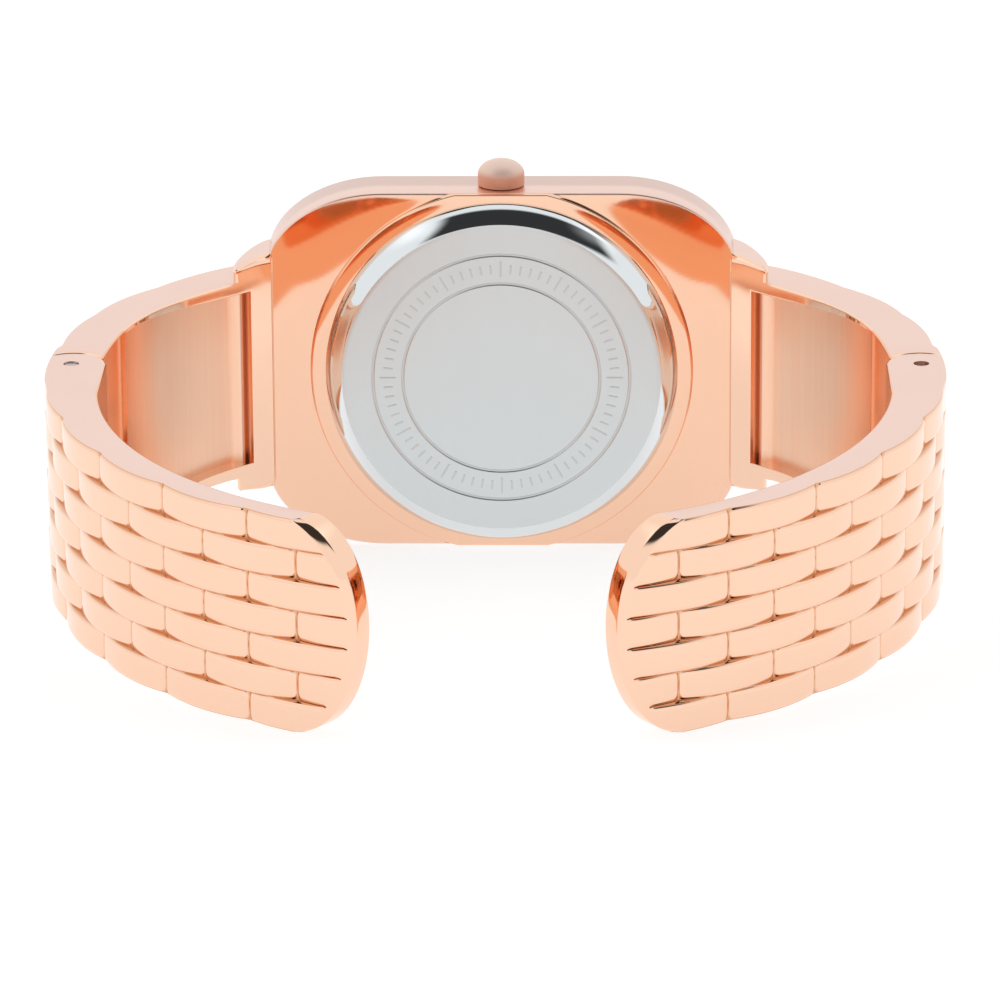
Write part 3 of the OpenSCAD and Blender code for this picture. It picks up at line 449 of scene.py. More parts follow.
def outside(turn):
    reach = band["radius"] if turn > 0 else band["reach"]
    more = swell(turn)
    return (band["radius"] + more) * math.cos(rad(turn)), band["middleY"] + (reach + more) * math.sin(rad(turn))


def ovalInside(turn):
    return band["ovalX"] * math.cos(rad(turn)), band["ovalMiddleY"] + band["ovalY"] * math.sin(rad(turn))


def fixedInside(turn, depth=0):
    x, y = polar(band["innerRadius"] + depth + swell(turn), turn)
    return x, band["middleY"] + y


def crossing(curve, radius, low, high):  # turn at which a curve crosses a circle round the pin
    def gap(turn):
        x, y = curve(turn)
        return math.hypot(x - hingeX, y) - radius
    lowSign = gap(low) > 0
    for _ in range(50):
        middle = (low + high) / 2
        if (gap(middle) > 0) == lowSign:
            low = middle
        else:
            high = middle
    return (low + high) / 2


def tipLine(line, z):  # half the distance between the tips, on one of the tip's three lines
    start, depth, half = band[line]
    return start + depth * (1 - math.sqrt(max(1 - (z / half) ** 2, 0)))


def turnAt(x, radius=band["radius"]):
    return math.degrees(math.acos(x / radius))


def levelsBetween(low, high, extra=()):
    # Heights of the rings, gathered at the lines between rows
    steps = (*edgeSteps, 0.7, rowHeight / 2)
    found = set(extra) | {low, high}
    for k in range(band["rows"] + 1):
        line = -band["halfHeight"] + k * rowHeight
        found |= {line + side * step for step in steps for side in (-1, 1)}
    inside = sorted(z for z in found if low - 1e-6 <= z <= high + 1e-6)
    return [z for i, z in enumerate(inside) if i == 0 or z - inside[i - 1] > 1e-4]


def jointLines(low, high, extra=()):
    # Turns of the lines across the rows, gathered at the bricks' joints
    steps = (*edgeSteps, 0.65, 0.95, 1.3, 1.62)
    half = band["pitch"] / 2
    found = set()
    for k in range(-3, 20):
        joint = band["firstJoint"] + k * half
        found |= {joint + side * step * degreesPerMm for step in steps for side in (-1, 1)}
        found.add(joint + half / 2)
    inside = sorted(t for t in found if low < t < high and all(abs(t - e) > 0.04 for e in (*extra, low, high)))
    return sorted([low, *inside, *(e for e in extra if low < e < high), high])


def knuckleRun(radius, start, end, count=22):
    spots = [polar(radius, turn) for turn in between(start, end, count)[1:-1]]
    return [(hingeX + x, y) for x, y in spots]


def angleFromPin(x, y):
    return math.degrees(math.atan2(y, x - hingeX))


# A ring point: x, y, turn, room from the tip's row line, share of the tip's bevel, relief, finish of the strip after
# it and, where it isn't the ring's, its own height
polished, satin, brushed, inside = 0, 1, 2, 3
far = 9  # room of the points away from the tip


def bare(spots, finish):  # ring points without relief
    return [(x, y, 0, far, 0, 0, finish) for x, y in spots]


def stack(bm, rings, levels, layers):
    # Joins the rings of one stretch of the band's height
    rows = []
    for ring, z in zip(rings, levels):
        row = []
        for x, y, turn, room, bevel, relief, _, *own in ring:
            vert = bm.verts.new(place(x, y, own[0] if own else z))
            limit = band["halfHeight"] - band["gap"] / 2
            for key, value in (("turn", turn), ("across", min(max(z, -limit), limit)), ("room", room),
                               ("bevel", bevel), ("relief", relief)):
                vert[layers[key]] = value
            row.append(vert)
        rows.append(row)
    for low, high, ring in zip(rows, rows[1:], rings):
        for face, point in zip(skin(bm, low, high), ring):
            face[layers["finish"]] = point[6]


def newBand():
    bm = bmesh.new()
    layers = {key: bm.verts.layers.float.new(key) for key in ("turn", "across", "room", "bevel", "relief")}
    layers["finish"] = bm.faces.layers.float.new("finish")
    return bm, layers


def bore(bm, layers, profile, count=24):
    # Wall of a hole round the pin's axis, from (radius, height) to (radius, height)
    turns = [2 * math.pi * i / count for i in range(count)]
    rows = [[bm.verts.new(place(hingeX + radius * math.cos(a), radius * math.sin(a), z)) for a in turns]
            for radius, z in profile]
    for low, high in zip(rows, rows[1:]):
        for face in skin(bm, low, high):
            face[layers["finish"]] = satin


def closeBand(bm, layers, planes, name):
    # Fills the flat ends of a band piece at each height in planes
    bmesh.ops.remove_doubles(bm, verts=bm.verts, dist=3e-7)
    flat = set()
    cut = (band["knuckleCut"] + band["rimEdge"] + 0.002) * mm
    for z in planes:
        height, middle = place(0, 0, z).z, place(hingeX, 0, z)
        slack = 1e-7 if abs(z) <= band["halfHeight"] else 0.0008  # the lug's end faces slope a little
        edges = [e for e in bm.edges if e.is_boundary and all(abs(v.co.z - height) < slack for v in e.verts)]
        made = bmesh.ops.triangle_fill(bm, edges=edges, use_beauty=True, use_dissolve=False, normal=(0, 0, 1))
        faces = [g for g in made["geom"] if isinstance(g, bmesh.types.BMFace)]
        over = [f for f in faces if abs(z) > band["barrelHalf"] + 0.1 and
                all(cut - 0.01 * mm < (v.co - middle).length < cut for v in f.verts)]
        for face in faces:
            if face not in over:
                face[layers["finish"]] = satin
                flat.add(face)
        bmesh.ops.delete(bm, geom=over, context="FACES")  # the fill bridges the knuckle's cut
    bmesh.ops.recalc_face_normals(bm, faces=bm.faces)
    for face in bm.faces:
        face.smooth = face not in flat
    return newObject(name, toMesh(bm, name))


def reliefTree():
    # Presses the bricks into the band's outside: crowned bricks, joints, row lines and the tip's bevel
    sizes = {"Row Height": 2.2, "Pitch": 13.8, "Brick Length": 7.8, "First Joint": -59.0, "Crown": 0.4, "Gap": 0.06,
             "Edge Radius": 0.2, "Corner Radius": 0.35, "Groove Depth": 0.1, "Tip Bevel": 0.35}
    finishes = ("Polished", "Satin", "Brushed", "Inside")
    tree, start, end = newTree("Brick relief", "GeometryNodeTree", {
        "Geometry": ("Geometry", None), "Rows": ("Int", 7), **{key: ("Float", value) for key, value in sizes.items()},
        **{key: ("Material", None) for key in finishes}}, {"Geometry": "Geometry"})
    size = {key: Term(tree, start[key]) for key in ("Rows", *sizes)}
    turn, across, room, bevel = (named(tree, key) for key in ("turn", "across", "room", "bevel"))
    rows, rowSize, gap = size["Rows"], size["Row Height"], size["Gap"]
    edge, corner = size["Edge Radius"], size["Corner Radius"]

    row = ((across + rows * rowSize * 0.5) / rowSize).do("FLOOR").held(0.0, rows - 1.0)
    odd = row.do("MODULO", 2.0)
    count = (turn - size["First Joint"]) / size["Pitch"] + odd * 0.5
    beyond = count.do("LESS_THAN", -0.5)  # the last brick before the tip has no end there
    share = (count.do("FRACT") * 2.0 - 1.0).do("ABSOLUTE") * (1.0 - beyond)
    fall = size["Crown"] * share * share
    other = 1.0 - share
    deepest = fall.do("MAXIMUM", size["Crown"] * other * other) + size["Groove Depth"] + edge * 0.6

    # Distance from a brick's rounded border, positive inside it
    along = share * size["Brick Length"] * 0.5
    up = (across + rows * rowSize * 0.5 - (row + 0.5) * rowSize).do("ABSOLUTE")
    overX = along - (size["Brick Length"] * 0.5 - gap * 0.5 - corner)
    overZ = (up - (rowSize * 0.5 - gap * 0.5)) * 0.65 + corner
    outX, outZ = overX.do("MAXIMUM", 0.0), overZ.do("MAXIMUM", 0.0)
    depthIn = corner - (outX * outX + outZ * outZ).do("SQRT") - overX.do("MAXIMUM", overZ).do("MINIMUM", 0.0)

    def roundEdge(distance):
        q = ((edge - distance) / edge).held(0.0, 0.94)
        return edge * (1.0 - (1.0 - q * q).do("SQRT"))

    inGap = depthIn.do("LESS_THAN", -0.002)
    brick = fall + roundEdge(depthIn)
    pressed = brick + inGap * (deepest - brick).do("MAXIMUM", 0.0)
    ends = (room / band["rowFade"]).held(0.0, 1.0).do("POWER", 0.5)
    rim = roundEdge(rows * rowSize * 0.5 - gap * 0.5 - across.do("ABSOLUTE"))
    drop = (pressed * ends).do("MAXIMUM", rim) + size["Tip Bevel"] * bevel.do("POWER", band["tipBevelCurve"])

    radians = turn * (math.pi / 180)
    reach = drop * named(tree, "relief") * -mm
    offset = add(tree, "ShaderNodeCombineXYZ", {0: reach * radians.do("COSINE"), 1: reach * radians.do("SINE")})
    moved = add(tree, "GeometryNodeSetPosition", {"Geometry": start["Geometry"], "Offset": offset.outputs[0]})
    # Painted shade: the groove attribute is 1 in the joints and row lines and fades out just inside each brick's border
    kept = add(tree, "GeometryNodeStoreNamedAttribute", {"Geometry": moved.outputs[0], "Name": "groove"},
               data_type="FLOAT", domain="POINT")
    paintedShade = (band["grooveShadeReach"] - depthIn) / band["grooveShadeReach"]
    feed(tree, kept.inputs["Value"], paintedShade.held(0.0, 1.0) * ends * named(tree, "relief"))
    last = add(tree, "GeometryNodeRealizeInstances", {"Geometry": kept.outputs[0]}).outputs[0]
    for number, key in enumerate(finishes):
        chosen = named(tree, "finish").do("COMPARE", float(number), 0.1)
        last = add(tree, "GeometryNodeSetMaterial",
                   {"Geometry": last, "Selection": chosen, "Material": start[key]}).outputs[0]
    feed(tree, end["Geometry"], last)
    return tree


brickRelief = reliefTree()


def pressBricks(obj):
    grown(obj, brickRelief, {
        "Rows": band["rows"], "Row Height": rowHeight, "Pitch": band["pitch"],
        "Brick Length": band["pitch"] / degreesPerMm, "First Joint": band["firstJoint"], "Crown": band["crown"],
        "Gap": band["gap"], "Edge Radius": band["edge"], "Corner Radius": band["corner"],
        "Groove Depth": band["groove"], "Tip Bevel": band["tipBevel"],
        "Polished": roseBricks, "Satin": roseSatin, "Brushed": roseBrushed, "Inside": roseInsideReflected})
    obj.data.set_sharp_from_angle(angle=rad(40))
    return obj


def rimDrop(z):
    return rounding(band["halfHeight"] - abs(z), band["rimEdge"])


def cuffRing(z, inEar):
    # One ring of a cuff arm: outside from the tip to the hinge, knuckle, inside, end of the tip
    drop = rimDrop(z)
    earTop = crossing(outside, band["knuckle"], 1, 20)
    slotTop = crossing(outside, band["knuckleCut"], 0, -20)
    innerTop = math.degrees(math.asin(-band["ovalMiddleY"] / band["ovalY"]))
    innerSlot = crossing(ovalInside, band["knuckleCut"], innerTop + 1, -5)
    rowTurn, creaseTurn = (-turnAt(tipLine(key, z)) for key in ("tipRow", "tipCrease"))

    # Lines near the tip follow its curve as far as the first joint of the odd rows
    settled, straight = (band["firstJoint"] - share * band["pitch"] for share in band["tipRun"])
    nearTurn = -turnAt(tipLine("tipRow", min(abs(z), band["tipFlat"])))
    near = between(nearTurn, straight, 12)[:-1] + jointLines(straight, settled)[:-1]
    near = [settled - (settled - t) * (settled - rowTurn) / (settled - nearTurn) for t in near]
    top = earTop if inEar else slotTop
    rest = [t for t in jointLines(settled, earTop, (slotTop,)) if t <= top + 1e-9]
    outer = [(creaseTurn + (rowTurn - creaseTurn) * share, 0, 1 - share) for share in between(0, 1, 8)[:-1]]
    outer += [(t, (t - rowTurn) / degreesPerMm, 0) for t in near + rest]
    ring = [(*outside(t), t, room, bevel, reliefShare(t), polished) for t, room, bevel in outer]

    # Knuckle: over the pin on the ears, under the fixed arm's knuckle between them
    radius = band["knuckle"] - drop if inEar else band["knuckleCut"]
    endAngle = 180 if inEar else angleFromPin(*ovalInside(innerSlot))
    ring += bare(knuckleRun(radius, angleFromPin(*outside(top)), endAngle), polished)

    # Inside
    innerEnd = -turnAt(tipLine("tipEdge", z), band["ovalX"])
    for t in ([innerTop] if inEar else []) + between(innerSlot, innerEnd, 60):
        (x, y), (moreX, moreY) = ovalInside(t), polar(drop, t)
        ring += bare([(x + moreX, y + moreY)], inside)

    # End of the tip, from the inner edge to the crease
    x0, y0 = ring[-1][:2]
    x1, y1 = (a - b for a, b in zip(outside(creaseTurn), polar(band["tipBevel"], creaseTurn)))
    for a in between(0, math.pi, 9)[1:-1]:
        s = 0.5 - 0.5 * math.cos(a)
        bulge = band["tipBulge"] * (4 * s * (1 - s)) ** 0.5
        ring += bare([(x0 + (x1 - x0) * s - bulge, y0 + (y1 - y0) * s)], polished)
    return ring


def cuffArm(name):
    bm, layers = newBand()
    half, slot = band["halfHeight"], band["slotHalf"]
    for low, high, inEar in ((-half, -slot, True), (-slot, slot, False), (slot, half, True)):
        levels = levelsBetween(low, high)
        stack(bm, [cuffRing(z, inEar) for z in levels], levels, layers)
    for side in (-1, 1):
        bore(bm, layers, [(band["bore"], side * slot), (band["bore"], side * half)])
    return pressBricks(closeBand(bm, layers, (-half, -slot, slot, half), name))


caseSize = {"halfX": 17.7, "halfZ": 13.9, "cornerX": 8.8, "cornerZ": 6.3, "plateY": 21.7, "depth": 4.7, "edge": 0.16,
            "seat": 3.4, "hole": 12.2}
lug = {"halfHeight": 9.2, "middle": (12.5, 20.2), "edge": 0.3, "recess": (18.7, 49.0), "depth": 1.25,
       "depthCurve": 0.55, "endRise": (0.45, 1.3), "recessHalf": (6.75, 7.4), "recessEdge": 0.1, "slit": 0.1,
       "slitDepth": 1.32, "slitSlope": 0.35, "end": (17.25, 21.66), "clear": 0.02, "endEdge": 0.55, "cornerX": 19.87,
       "cornerShare": 0.68, "cornerRun": (20.3, 2.6), "lineEnd": 50, "closeRun": 1.8}


def caseSide(z):  # where the case's side lies at a height
    over = abs(z) - (caseSize["halfZ"] - caseSize["cornerZ"])
    if over <= 0:
        return caseSize["halfX"]
    return caseSize["halfX"] - caseSize["cornerX"] * (1 - math.sqrt(1 - (over / caseSize["cornerZ"]) ** 2))


def recessShare(turn):  # 0 at the panel's end by the case, 1 at its end by the hinge
    return shareOf(turn, *reversed(lug["recess"]))


def recessLevel(turn, z):  # the panel is narrow at the case and wide at the hinge
    narrow, wide = lug["recessHalf"]
    inner, outer = band["barrelHalf"], band["halfHeight"]
    edge = narrow + (wide - narrow) * smooth(recessShare(turn), 0.1, 1)
    if abs(z) <= inner or abs(z) >= outer:
        return z
    if abs(z) < narrow:
        height = inner + (abs(z) - inner) * (edge - inner) / (narrow - inner)
    else:
        height = outer - (outer - abs(z)) * (outer - edge) / (outer - narrow)
    return math.copysign(height, z)


def recessDepth(turn, z):
    # The panel is deep at the case and shallow at the hinge, with a slit along the case
    low, high = lug["recess"]
    slit, slitDepth, (rise, riseEnd) = lug["slit"], lug["slitDepth"], lug["endRise"]
    fromCase = (high - turn) / degreesPerMm
    room = min((turn - low) / degreesPerMm, fromCase, lug["recessHalf"][0] - abs(z))
    if room < 0:
        return (0, inside) if turn <= low else (rounding(-room, lug["recessEdge"]), polished)
    if fromCase < slit:
        return slitDepth, satin
    depth = lug["depth"] * (1 - recessShare(turn)) ** lug["depthCurve"] - rise * (1 - smooth(fromCase, slit, riseEnd))
    slope = 1 - smooth(fromCase, slit, slit + lug["slitSlope"])
    return depth + (slitDepth - depth) * slope, satin if slope > 0.01 else brushed


def caseLines(z):  # x of the case's side, and the turns of an arm's outside, inner corner and inner end at the case
    sideX = caseSide(z) - lug["clear"]
    return sideX, turnAt(sideX), turnAt(lug["cornerX"], band["innerRadius"]), turnAt(lug["end"][0], band["innerRadius"])


def lugRing(z):
    # One ring of the block by the case above or below the rim: round side, corner, inside, end at the case
    sideX, caseTurn, cornerTurn, innerCase = caseLines(z)
    (middleX, middleY), endX, endY = lug["middle"], lug["end"][0], lug["end"][1] + lug["clear"]
    room = lug["halfHeight"] - abs(z)
    drop = rounding(room, lug["edge"])
    corner, top = fixedInside(cornerTurn), outside(caseTurn)
    start, finish = (math.degrees(math.atan2(y - middleY, x - middleX)) for x, y in (corner, top))
    r = math.hypot(corner[0] - middleX, corner[1] - middleY) - drop
    side = [polar(r, finish + (start - finish) * i / 24.8) for i in range(1, 24)]
    side = [(middleX + x, middleY + y) for x, y in side]
    soft = between(lug["edge"], lug["endEdge"], 8)
    inner = [fixedInside(t, rounding(room, edge)) for t, edge in zip(between(cornerTurn, innerCase, 8)[1:], soft[1:])]
    first, bend = side[-1], (corner[0] - drop, corner[1] + drop)
    for s in between(0, 1, 5)[1:-1]:  # a curve round the corner
        side.append(tuple((1 - s) ** 2 * a + 2 * s * (1 - s) * b + s * s * c for a, b, c in zip(first, bend, inner[0])))
    ring = bare(side[:21], satin) + bare(side[21:] + inner, polished)
    ring += bare(((endX, endY + drop), (sideX, endY + drop), (top[0], top[1] - drop)), satin)
    (run, length), share = lug["cornerRun"], lug["cornerShare"]
    raised = []
    for entry in ring:  # the block is lower at its outer corner
        tall = share + (1 - share) * smooth(run - entry[0], 0, length)
        height = band["halfHeight"] + (abs(z) - band["halfHeight"]) * tall
        raised.append((*entry, math.copysign(height, z)))
    return raised


def panelTurns(shared, last):
    # Turns of the lines inside a fixed arm, gathered at the panel's ends and at its slit
    low, high = lug["recess"]
    near, slit = 0.01 * degreesPerMm, lug["slit"] * degreesPerMm
    away = [step * degreesPerMm for step in (0.14, 0.09, 0.05, 0.02, 0)]
    behind, middle = high - slit, high - slit - lug["closeRun"]
    own = [high + a for a in away] + [high - near, behind + near, behind]
    own += between(behind, middle, 16)[1:-1] + between(middle, low + 0.4, 36)
    own += [low + near] + [low - a for a in reversed(away)] + between(low - 0.6, last, 12)
    return sorted(shared + [t for t in own if all(abs(t - e) > 0.012 for e in shared)], reverse=True)


def fixedRing(z, barrel):
    # One ring of a fixed arm: outside from the hinge to the case, its end there, inside, knuckle
    knuckle, cut, drop = band["knuckle"], band["knuckleCut"], rimDrop(z)
    lowTop, cutTop = crossing(outside, knuckle, 0, -20), crossing(outside, cut, 1, 20)
    cutOwn = crossing(outside, cut + drop, 1, 20)
    innerCut = crossing(lambda t: fixedInside(t, drop), cut + drop, 2, 12)
    innerKnuckle = crossing(fixedInside, knuckle, 2, 12)
    sideX, caseTurn, cornerTurn, innerCase = caseLines(z)
    endX, endY = lug["end"][0], lug["end"][1] + lug["clear"]
    top = lowTop if barrel else cutTop
    steps = [t for t in jointLines(lowTop, lug["lineEnd"], (cutTop,)) if t >= top - 1e-9]
    if not barrel:
        steps = [t + (cutOwn - cutTop) * max(0, 1 - (t - cutTop) / 2) for t in steps]
        top = cutOwn
    steps = [t for t in steps if t < lug["lineEnd"]] + between(lug["lineEnd"], caseTurn, 10)
    ring = [(*outside(t), t, far, 0, reliefShare(t), polished) for t in steps]
    ring += bare(((sideX, endY), (endX, endY)), satin)

    # Inside, from the case to the hinge, with the sunk panel
    turns = panelTurns(between(innerCase, cornerTurn, 8), innerCut) + ([innerKnuckle] if barrel else [])
    for t in turns:
        depth, finish = recessDepth(t, z)
        rim = drop * smooth(fixedInside(t)[0], lug["cornerX"], lug["cornerX"] + 0.6)
        ring.append((*fixedInside(t, max(depth, rim)), 0, far, 0, 0, finish, recessLevel(t, z)))
    inner, radius, more = (innerKnuckle, knuckle, 360) if barrel else (innerCut, cut + drop, 0)
    run = knuckleRun(radius, angleFromPin(*fixedInside(inner)), angleFromPin(*outside(top)) + more)
    return ring + bare(run, polished)


def fixedArm(name):
    bm, layers = newBand()
    half, barrel, block = band["halfHeight"], band["barrelHalf"], lug["halfHeight"]
    steps = (-0.3, -0.01, 0, 0.02, 0.05, 0.09, 0.14)
    edges = {side * (lug["recessHalf"][0] + step) for side in (-1, 1) for step in steps}
    for low, high in ((-half, -barrel), (-barrel, barrel), (barrel, half)):
        levels = levelsBetween(low, high, {z for z in edges if low < z < high})
        stack(bm, [fixedRing(z, low < 0 < high) for z in levels], levels, layers)
    steps = (0, 0.02, 0.05, 0.09, 0.14, 0.2, 0.3, 0.6, block - half)
    for side in (-1, 1):
        levels = sorted(side * (block - step) for step in steps)
        stack(bm, [lugRing(z) for z in levels], levels, layers)
    hole, (wide, deep) = band["bore"], band["chamber"]
    bore(bm, layers, [(hole, -barrel), (hole, -deep), (wide, -deep), (wide, deep), (hole, deep), (hole, barrel)])
    return pressBricks(closeBand(bm, layers, (-block, -half, -barrel, barrel, half, block), name))


pieces = {}
for side, build in (("cuff", cuffArm), ("fixed", fixedArm)):
    right = build("right" + side.capitalize() + "Arm")
    pieces["right_" + side + "_arm"] = right
    pieces["left_" + side + "_arm"] = mirrored(right, "left" + side.capitalize() + "Arm")
print("arms made")

# The case
backSize = {"radius": 13.25, "flat": 12.0, "front": 19.9, "edge": 21.15, "rings": (9.65, 7.4), "groove": 0.13,
            "grooveDepth": 0.05, "bevel": (30, 70), "bevelSteps": 18, "stepRadius": 14.3, "stepHeight": 0.35,
            "wall": (12.18, 11.58), "wallEnd": 22.6, "rimEnd": 21.35, "thick": 0.7}
# Points where the raised ring round the case back crosses the case's outline
meeting = [(math.sqrt((backSize["stepRadius"] + more) ** 2 - (caseSize["halfZ"] - less) ** 2), caseSize["halfZ"] - less)
           for more, less in ((0, 0.02), (-0.1, 0.12), (0.02, 0.02), (0.1, 0.02))]
cushionKeys = ("halfX", "halfZ", "cornerX", "cornerZ")
caseAngles = cushionAngles(*(caseSize[key] for key in cushionKeys), extra=meeting)


def outlineRing(inset, y, clip=None, size=caseSize):
    ring = []
    for a in caseAngles:
        reach = cushion(a, *(size[key] - inset for key in cushionKeys))
        if clip is not None:
            reach = min(reach, clip)
        ring.append(place(reach * math.cos(a), y, reach * math.sin(a)))
    return ring


def circleRing(radius, y):
    return [place(radius * math.cos(a), y, radius * math.sin(a)) for a in caseAngles]


def softEdge(radius, steps=4):  # (inset, depth) of a rounded edge, from the face to the side
    return [(radius * (1 - math.sin(a)), radius * (1 - math.cos(a))) for a in between(0, math.pi / 2, steps)]


dialSize = {"halfX": 15.0, "halfZ": 11.2, "cornerX": 5.3, "cornerZ": 5.3}


def dialRing(grow, y):
    return outlineRing(-grow, y, None, dialSize)


def caseMiddle():
    plate, seat, hole = caseSize["plateY"], caseSize["seat"], caseSize["hole"]
    stepY, stepR, end = plate - backSize["stepHeight"], backSize["stepRadius"], plate + caseSize["depth"]
    plain, satinSide = 0, 1
    rings = [(circleRing(backSize["radius"] + 0.02, stepY), plain)]
    for inset, down in softEdge(0.1, 3):
        middle = place(0, stepY + down, 0)
        pairs = zip(circleRing(stepR - inset, stepY + down), outlineRing(inset + 0.02, stepY + down))
        rings.append(([a if (a - middle).length < (b - middle).length else b for a, b in pairs], plain))
    rings += [(outlineRing(0.02, plate - 0.1, stepR + 0.02), plain), (outlineRing(0.02, plate, stepR + 0.1), plain)]
    rings += [(outlineRing(inset, plate + down), satinSide) for inset, down in softEdge(caseSize["edge"])]
    rings += [(outlineRing(0, end - 0.12), satinSide), (outlineRing(0.12, end), plain), (outlineRing(0.6, end), plain),
              (dialRing(0.1, end - 0.55), plain), (dialRing(0.1, plate + seat), plain),
              (circleRing(hole, plate + seat), plain), (circleRing(hole, stepY), plain)]
    points, finishes = zip(*rings)
    mesh = shell("caseMiddle", points, closed=True, finishes=finishes, sharp=50)
    return finished("caseMiddle", mesh, rosePlate, roseSatin)


def caseBack():
    front, flat, radius, edge = (backSize[key] for key in ("front", "flat", "radius", "edge"))
    w, d, steps = backSize["groove"], backSize["grooveDepth"], backSize["bevelSteps"]
    face, bevel, engraved = 0, 1, 2
    profile = [(0, front, face), (backSize["rings"][1] - 0.3, front, face)]
    for r in reversed(backSize["rings"]):
        profile += [(r - w, front, engraved), (r - w * 0.4, front + d, engraved), (r + w * 0.4, front + d, engraved),
                    (r + w, front, face)]
    start = front + 0.008
    profile += [(flat - 0.35, front, face), (flat - 0.02, front, bevel), (flat, start, bevel)]
    first, last = (rad(a) for a in backSize["bevel"])
    for a in between(first, last, steps)[1:]:
        profile.append((flat + (radius - flat) * (math.sin(a) - math.sin(first)) / (math.sin(last) - math.sin(first)),
                        start + (edge - start) * (math.cos(first) - math.cos(a)) / (math.cos(first) - math.cos(last)),
                        bevel))
    outer, inner = backSize["wall"]
    rim, end, back = backSize["rimEnd"], backSize["wallEnd"], front + backSize["thick"]
    walls = ((radius, edge + 0.05), (radius, rim), (outer, rim), (outer, end), (inner, end), (inner, back), (0, back))
    profile += [(r, y, bevel) for r, y in walls]
    mesh = turned("caseBack", [(r, y) for r, y, _ in profile], (0, 0, 0), "Y", count=180,
                  finishes=[finish for *_, finish in profile], sharp=28)
    return finished("caseBack", mesh, steelSatin, steelPolished, steelEngraved)


def barsTree():
    # A bar with softened top edges on every point, turned to the point's heading
    tree, start, end = newTree("Bars on points", "GeometryNodeTree", {
        "Geometry": ("Geometry", None), "Width": ("Float", 0.1), "Height": ("Float", 0.05),
        "Top Share": ("Float", 0.7), "Material": ("Material", None)},
        {"Geometry": "Geometry"})
    box = add(tree, "GeometryNodeMeshCube", {"Vertices X": 2, "Vertices Y": 3, "Vertices Z": 2})
    box.inputs["Size"].default_value = (1, 1, 1)
    spot = add(tree, "ShaderNodeSeparateXYZ", {0: add(tree, "GeometryNodeInputPosition").outputs[0]})
    x, y, z = (Term(tree, spot.outputs[i]) for i in range(3))
    narrow = 1.0 - (y.do("LESS_THAN", 0.25)) * (1.0 - Term(tree, start["Top Share"]))
    shaped = add(tree, "ShaderNodeCombineXYZ", {0: x * (1.0 - (1.0 - narrow) * 0.3), 1: y, 2: z * narrow})
    bar = add(tree, "GeometryNodeSetPosition", {"Geometry": box.outputs["Mesh"], "Position": shaped.outputs[0]})
    spin = add(tree, "ShaderNodeCombineXYZ", {1: named(tree, "heading")})
    scale = add(tree, "ShaderNodeCombineXYZ", {0: named(tree, "length"), 1: start["Height"], 2: start["Width"]})
    points = add(tree, "GeometryNodeInstanceOnPoints", {"Points": start["Geometry"], "Instance": bar.outputs[0],
                                                        "Scale": scale.outputs[0]})
    feed(tree, points.inputs["Rotation"], add(tree, "FunctionNodeEulerToRotation", {0: spin.outputs[0]}).outputs[0])
    return closeTree(tree, end, points, start["Material"])


barsOnPoints = barsTree()


def bars(name, spots, width, height, topShare, mat):
    # spots: x, y, z of the bar's middle, its heading in degrees and its length
    mesh = bpy.data.meshes.new(name)
    mesh.from_pydata([place(*spot[:3]) for spot in spots], [], [])
    heading = mesh.attributes.new("heading", "FLOAT", "POINT")
    length = mesh.attributes.new("length", "FLOAT", "POINT")
    for i, spot in enumerate(spots):
        heading.data[i].value = rad(spot[3])
        length.data[i].value = spot[4] * mm
    return grown(newObject(name, mesh), barsOnPoints, {
        "Width": width * mm, "Height": height * mm, "Top Share": topShare, "Material": mat})


ticks = {"count": 72, "every": 6, "long": 1.25, "short": 0.7, "width": 0.14, "height": 0.03, "topShare": 0.8}


def caseBackTicks():
    middle, y = sum(backSize["rings"]) / 2, backSize["front"] - 0.012
    spots = []
    for i in range(ticks["count"]):
        a = 360 * i / ticks["count"]
        x, z = polar(middle, a)
        spots.append((x, y, z, -a, ticks["short"] if i % ticks["every"] else ticks["long"]))
    return bars("caseBackTicks", spots, ticks["width"], ticks["height"], ticks["topShare"], steelEngraved)


bezelSize = {"tiers": ((0.5, 0, 0.9), (1.4, 0.9, 2.0)), "edge": 0.2}  # inset, low and high from the case's front
bezelInside = ((0.55, 2.0), (0.31, 1.9), (0.31, 0.8), (-0.39, 0.8), (0.1, 0), (0.1, -0.5), (0.69, -0.5), (0.69, 0))


def bezel():
    top = caseSize["plateY"] + caseSize["depth"]
    rings, soft = [], softEdge(bezelSize["edge"])[::-1]
    for inset, low, high in bezelSize["tiers"]:
        rings.append(outlineRing(inset, top + low))
        rings += [outlineRing(inset + extra, top + high - down) for extra, down in soft]
    rings += [dialRing(grow, top + y) for grow, y in bezelInside]
    return finished("bezel", shell("bezel", rings, closed=True, sharp=40), rosePolished)


def heights(node):  # a CAD node's lowest and highest place along the watch's depth
    low, high = nodeBox(node)
    return low[1], high[1]


def crystal():
    low, high = heights("crystal")
    rings = [[place(0, low, 0)], dialRing(-0.1, low), dialRing(-0.06, low + 0.04), dialRing(-0.06, high - 0.15)]
    rings += [dialRing(-0.06 - extra, high - down) for extra, down in reversed(softEdge(0.15, 3))]
    rings.append([place(0, high, 0)])
    return finished("crystal", shell("crystal", rings, sharp=30), crystalGlass)


def crystalGasket():
    low, high = heights("crystal_gasket")
    soft = 0.06
    rings = [dialRing(grow, y) for grow, y in ((0.3, low), (0.3, high - soft), (0.3 - soft, high), (soft - 0.05, high),
                                               (-0.05, high - soft), (-0.05, low))]
    return finished("crystalGasket", shell("crystalGasket", rings, closed=True), sealRubber)


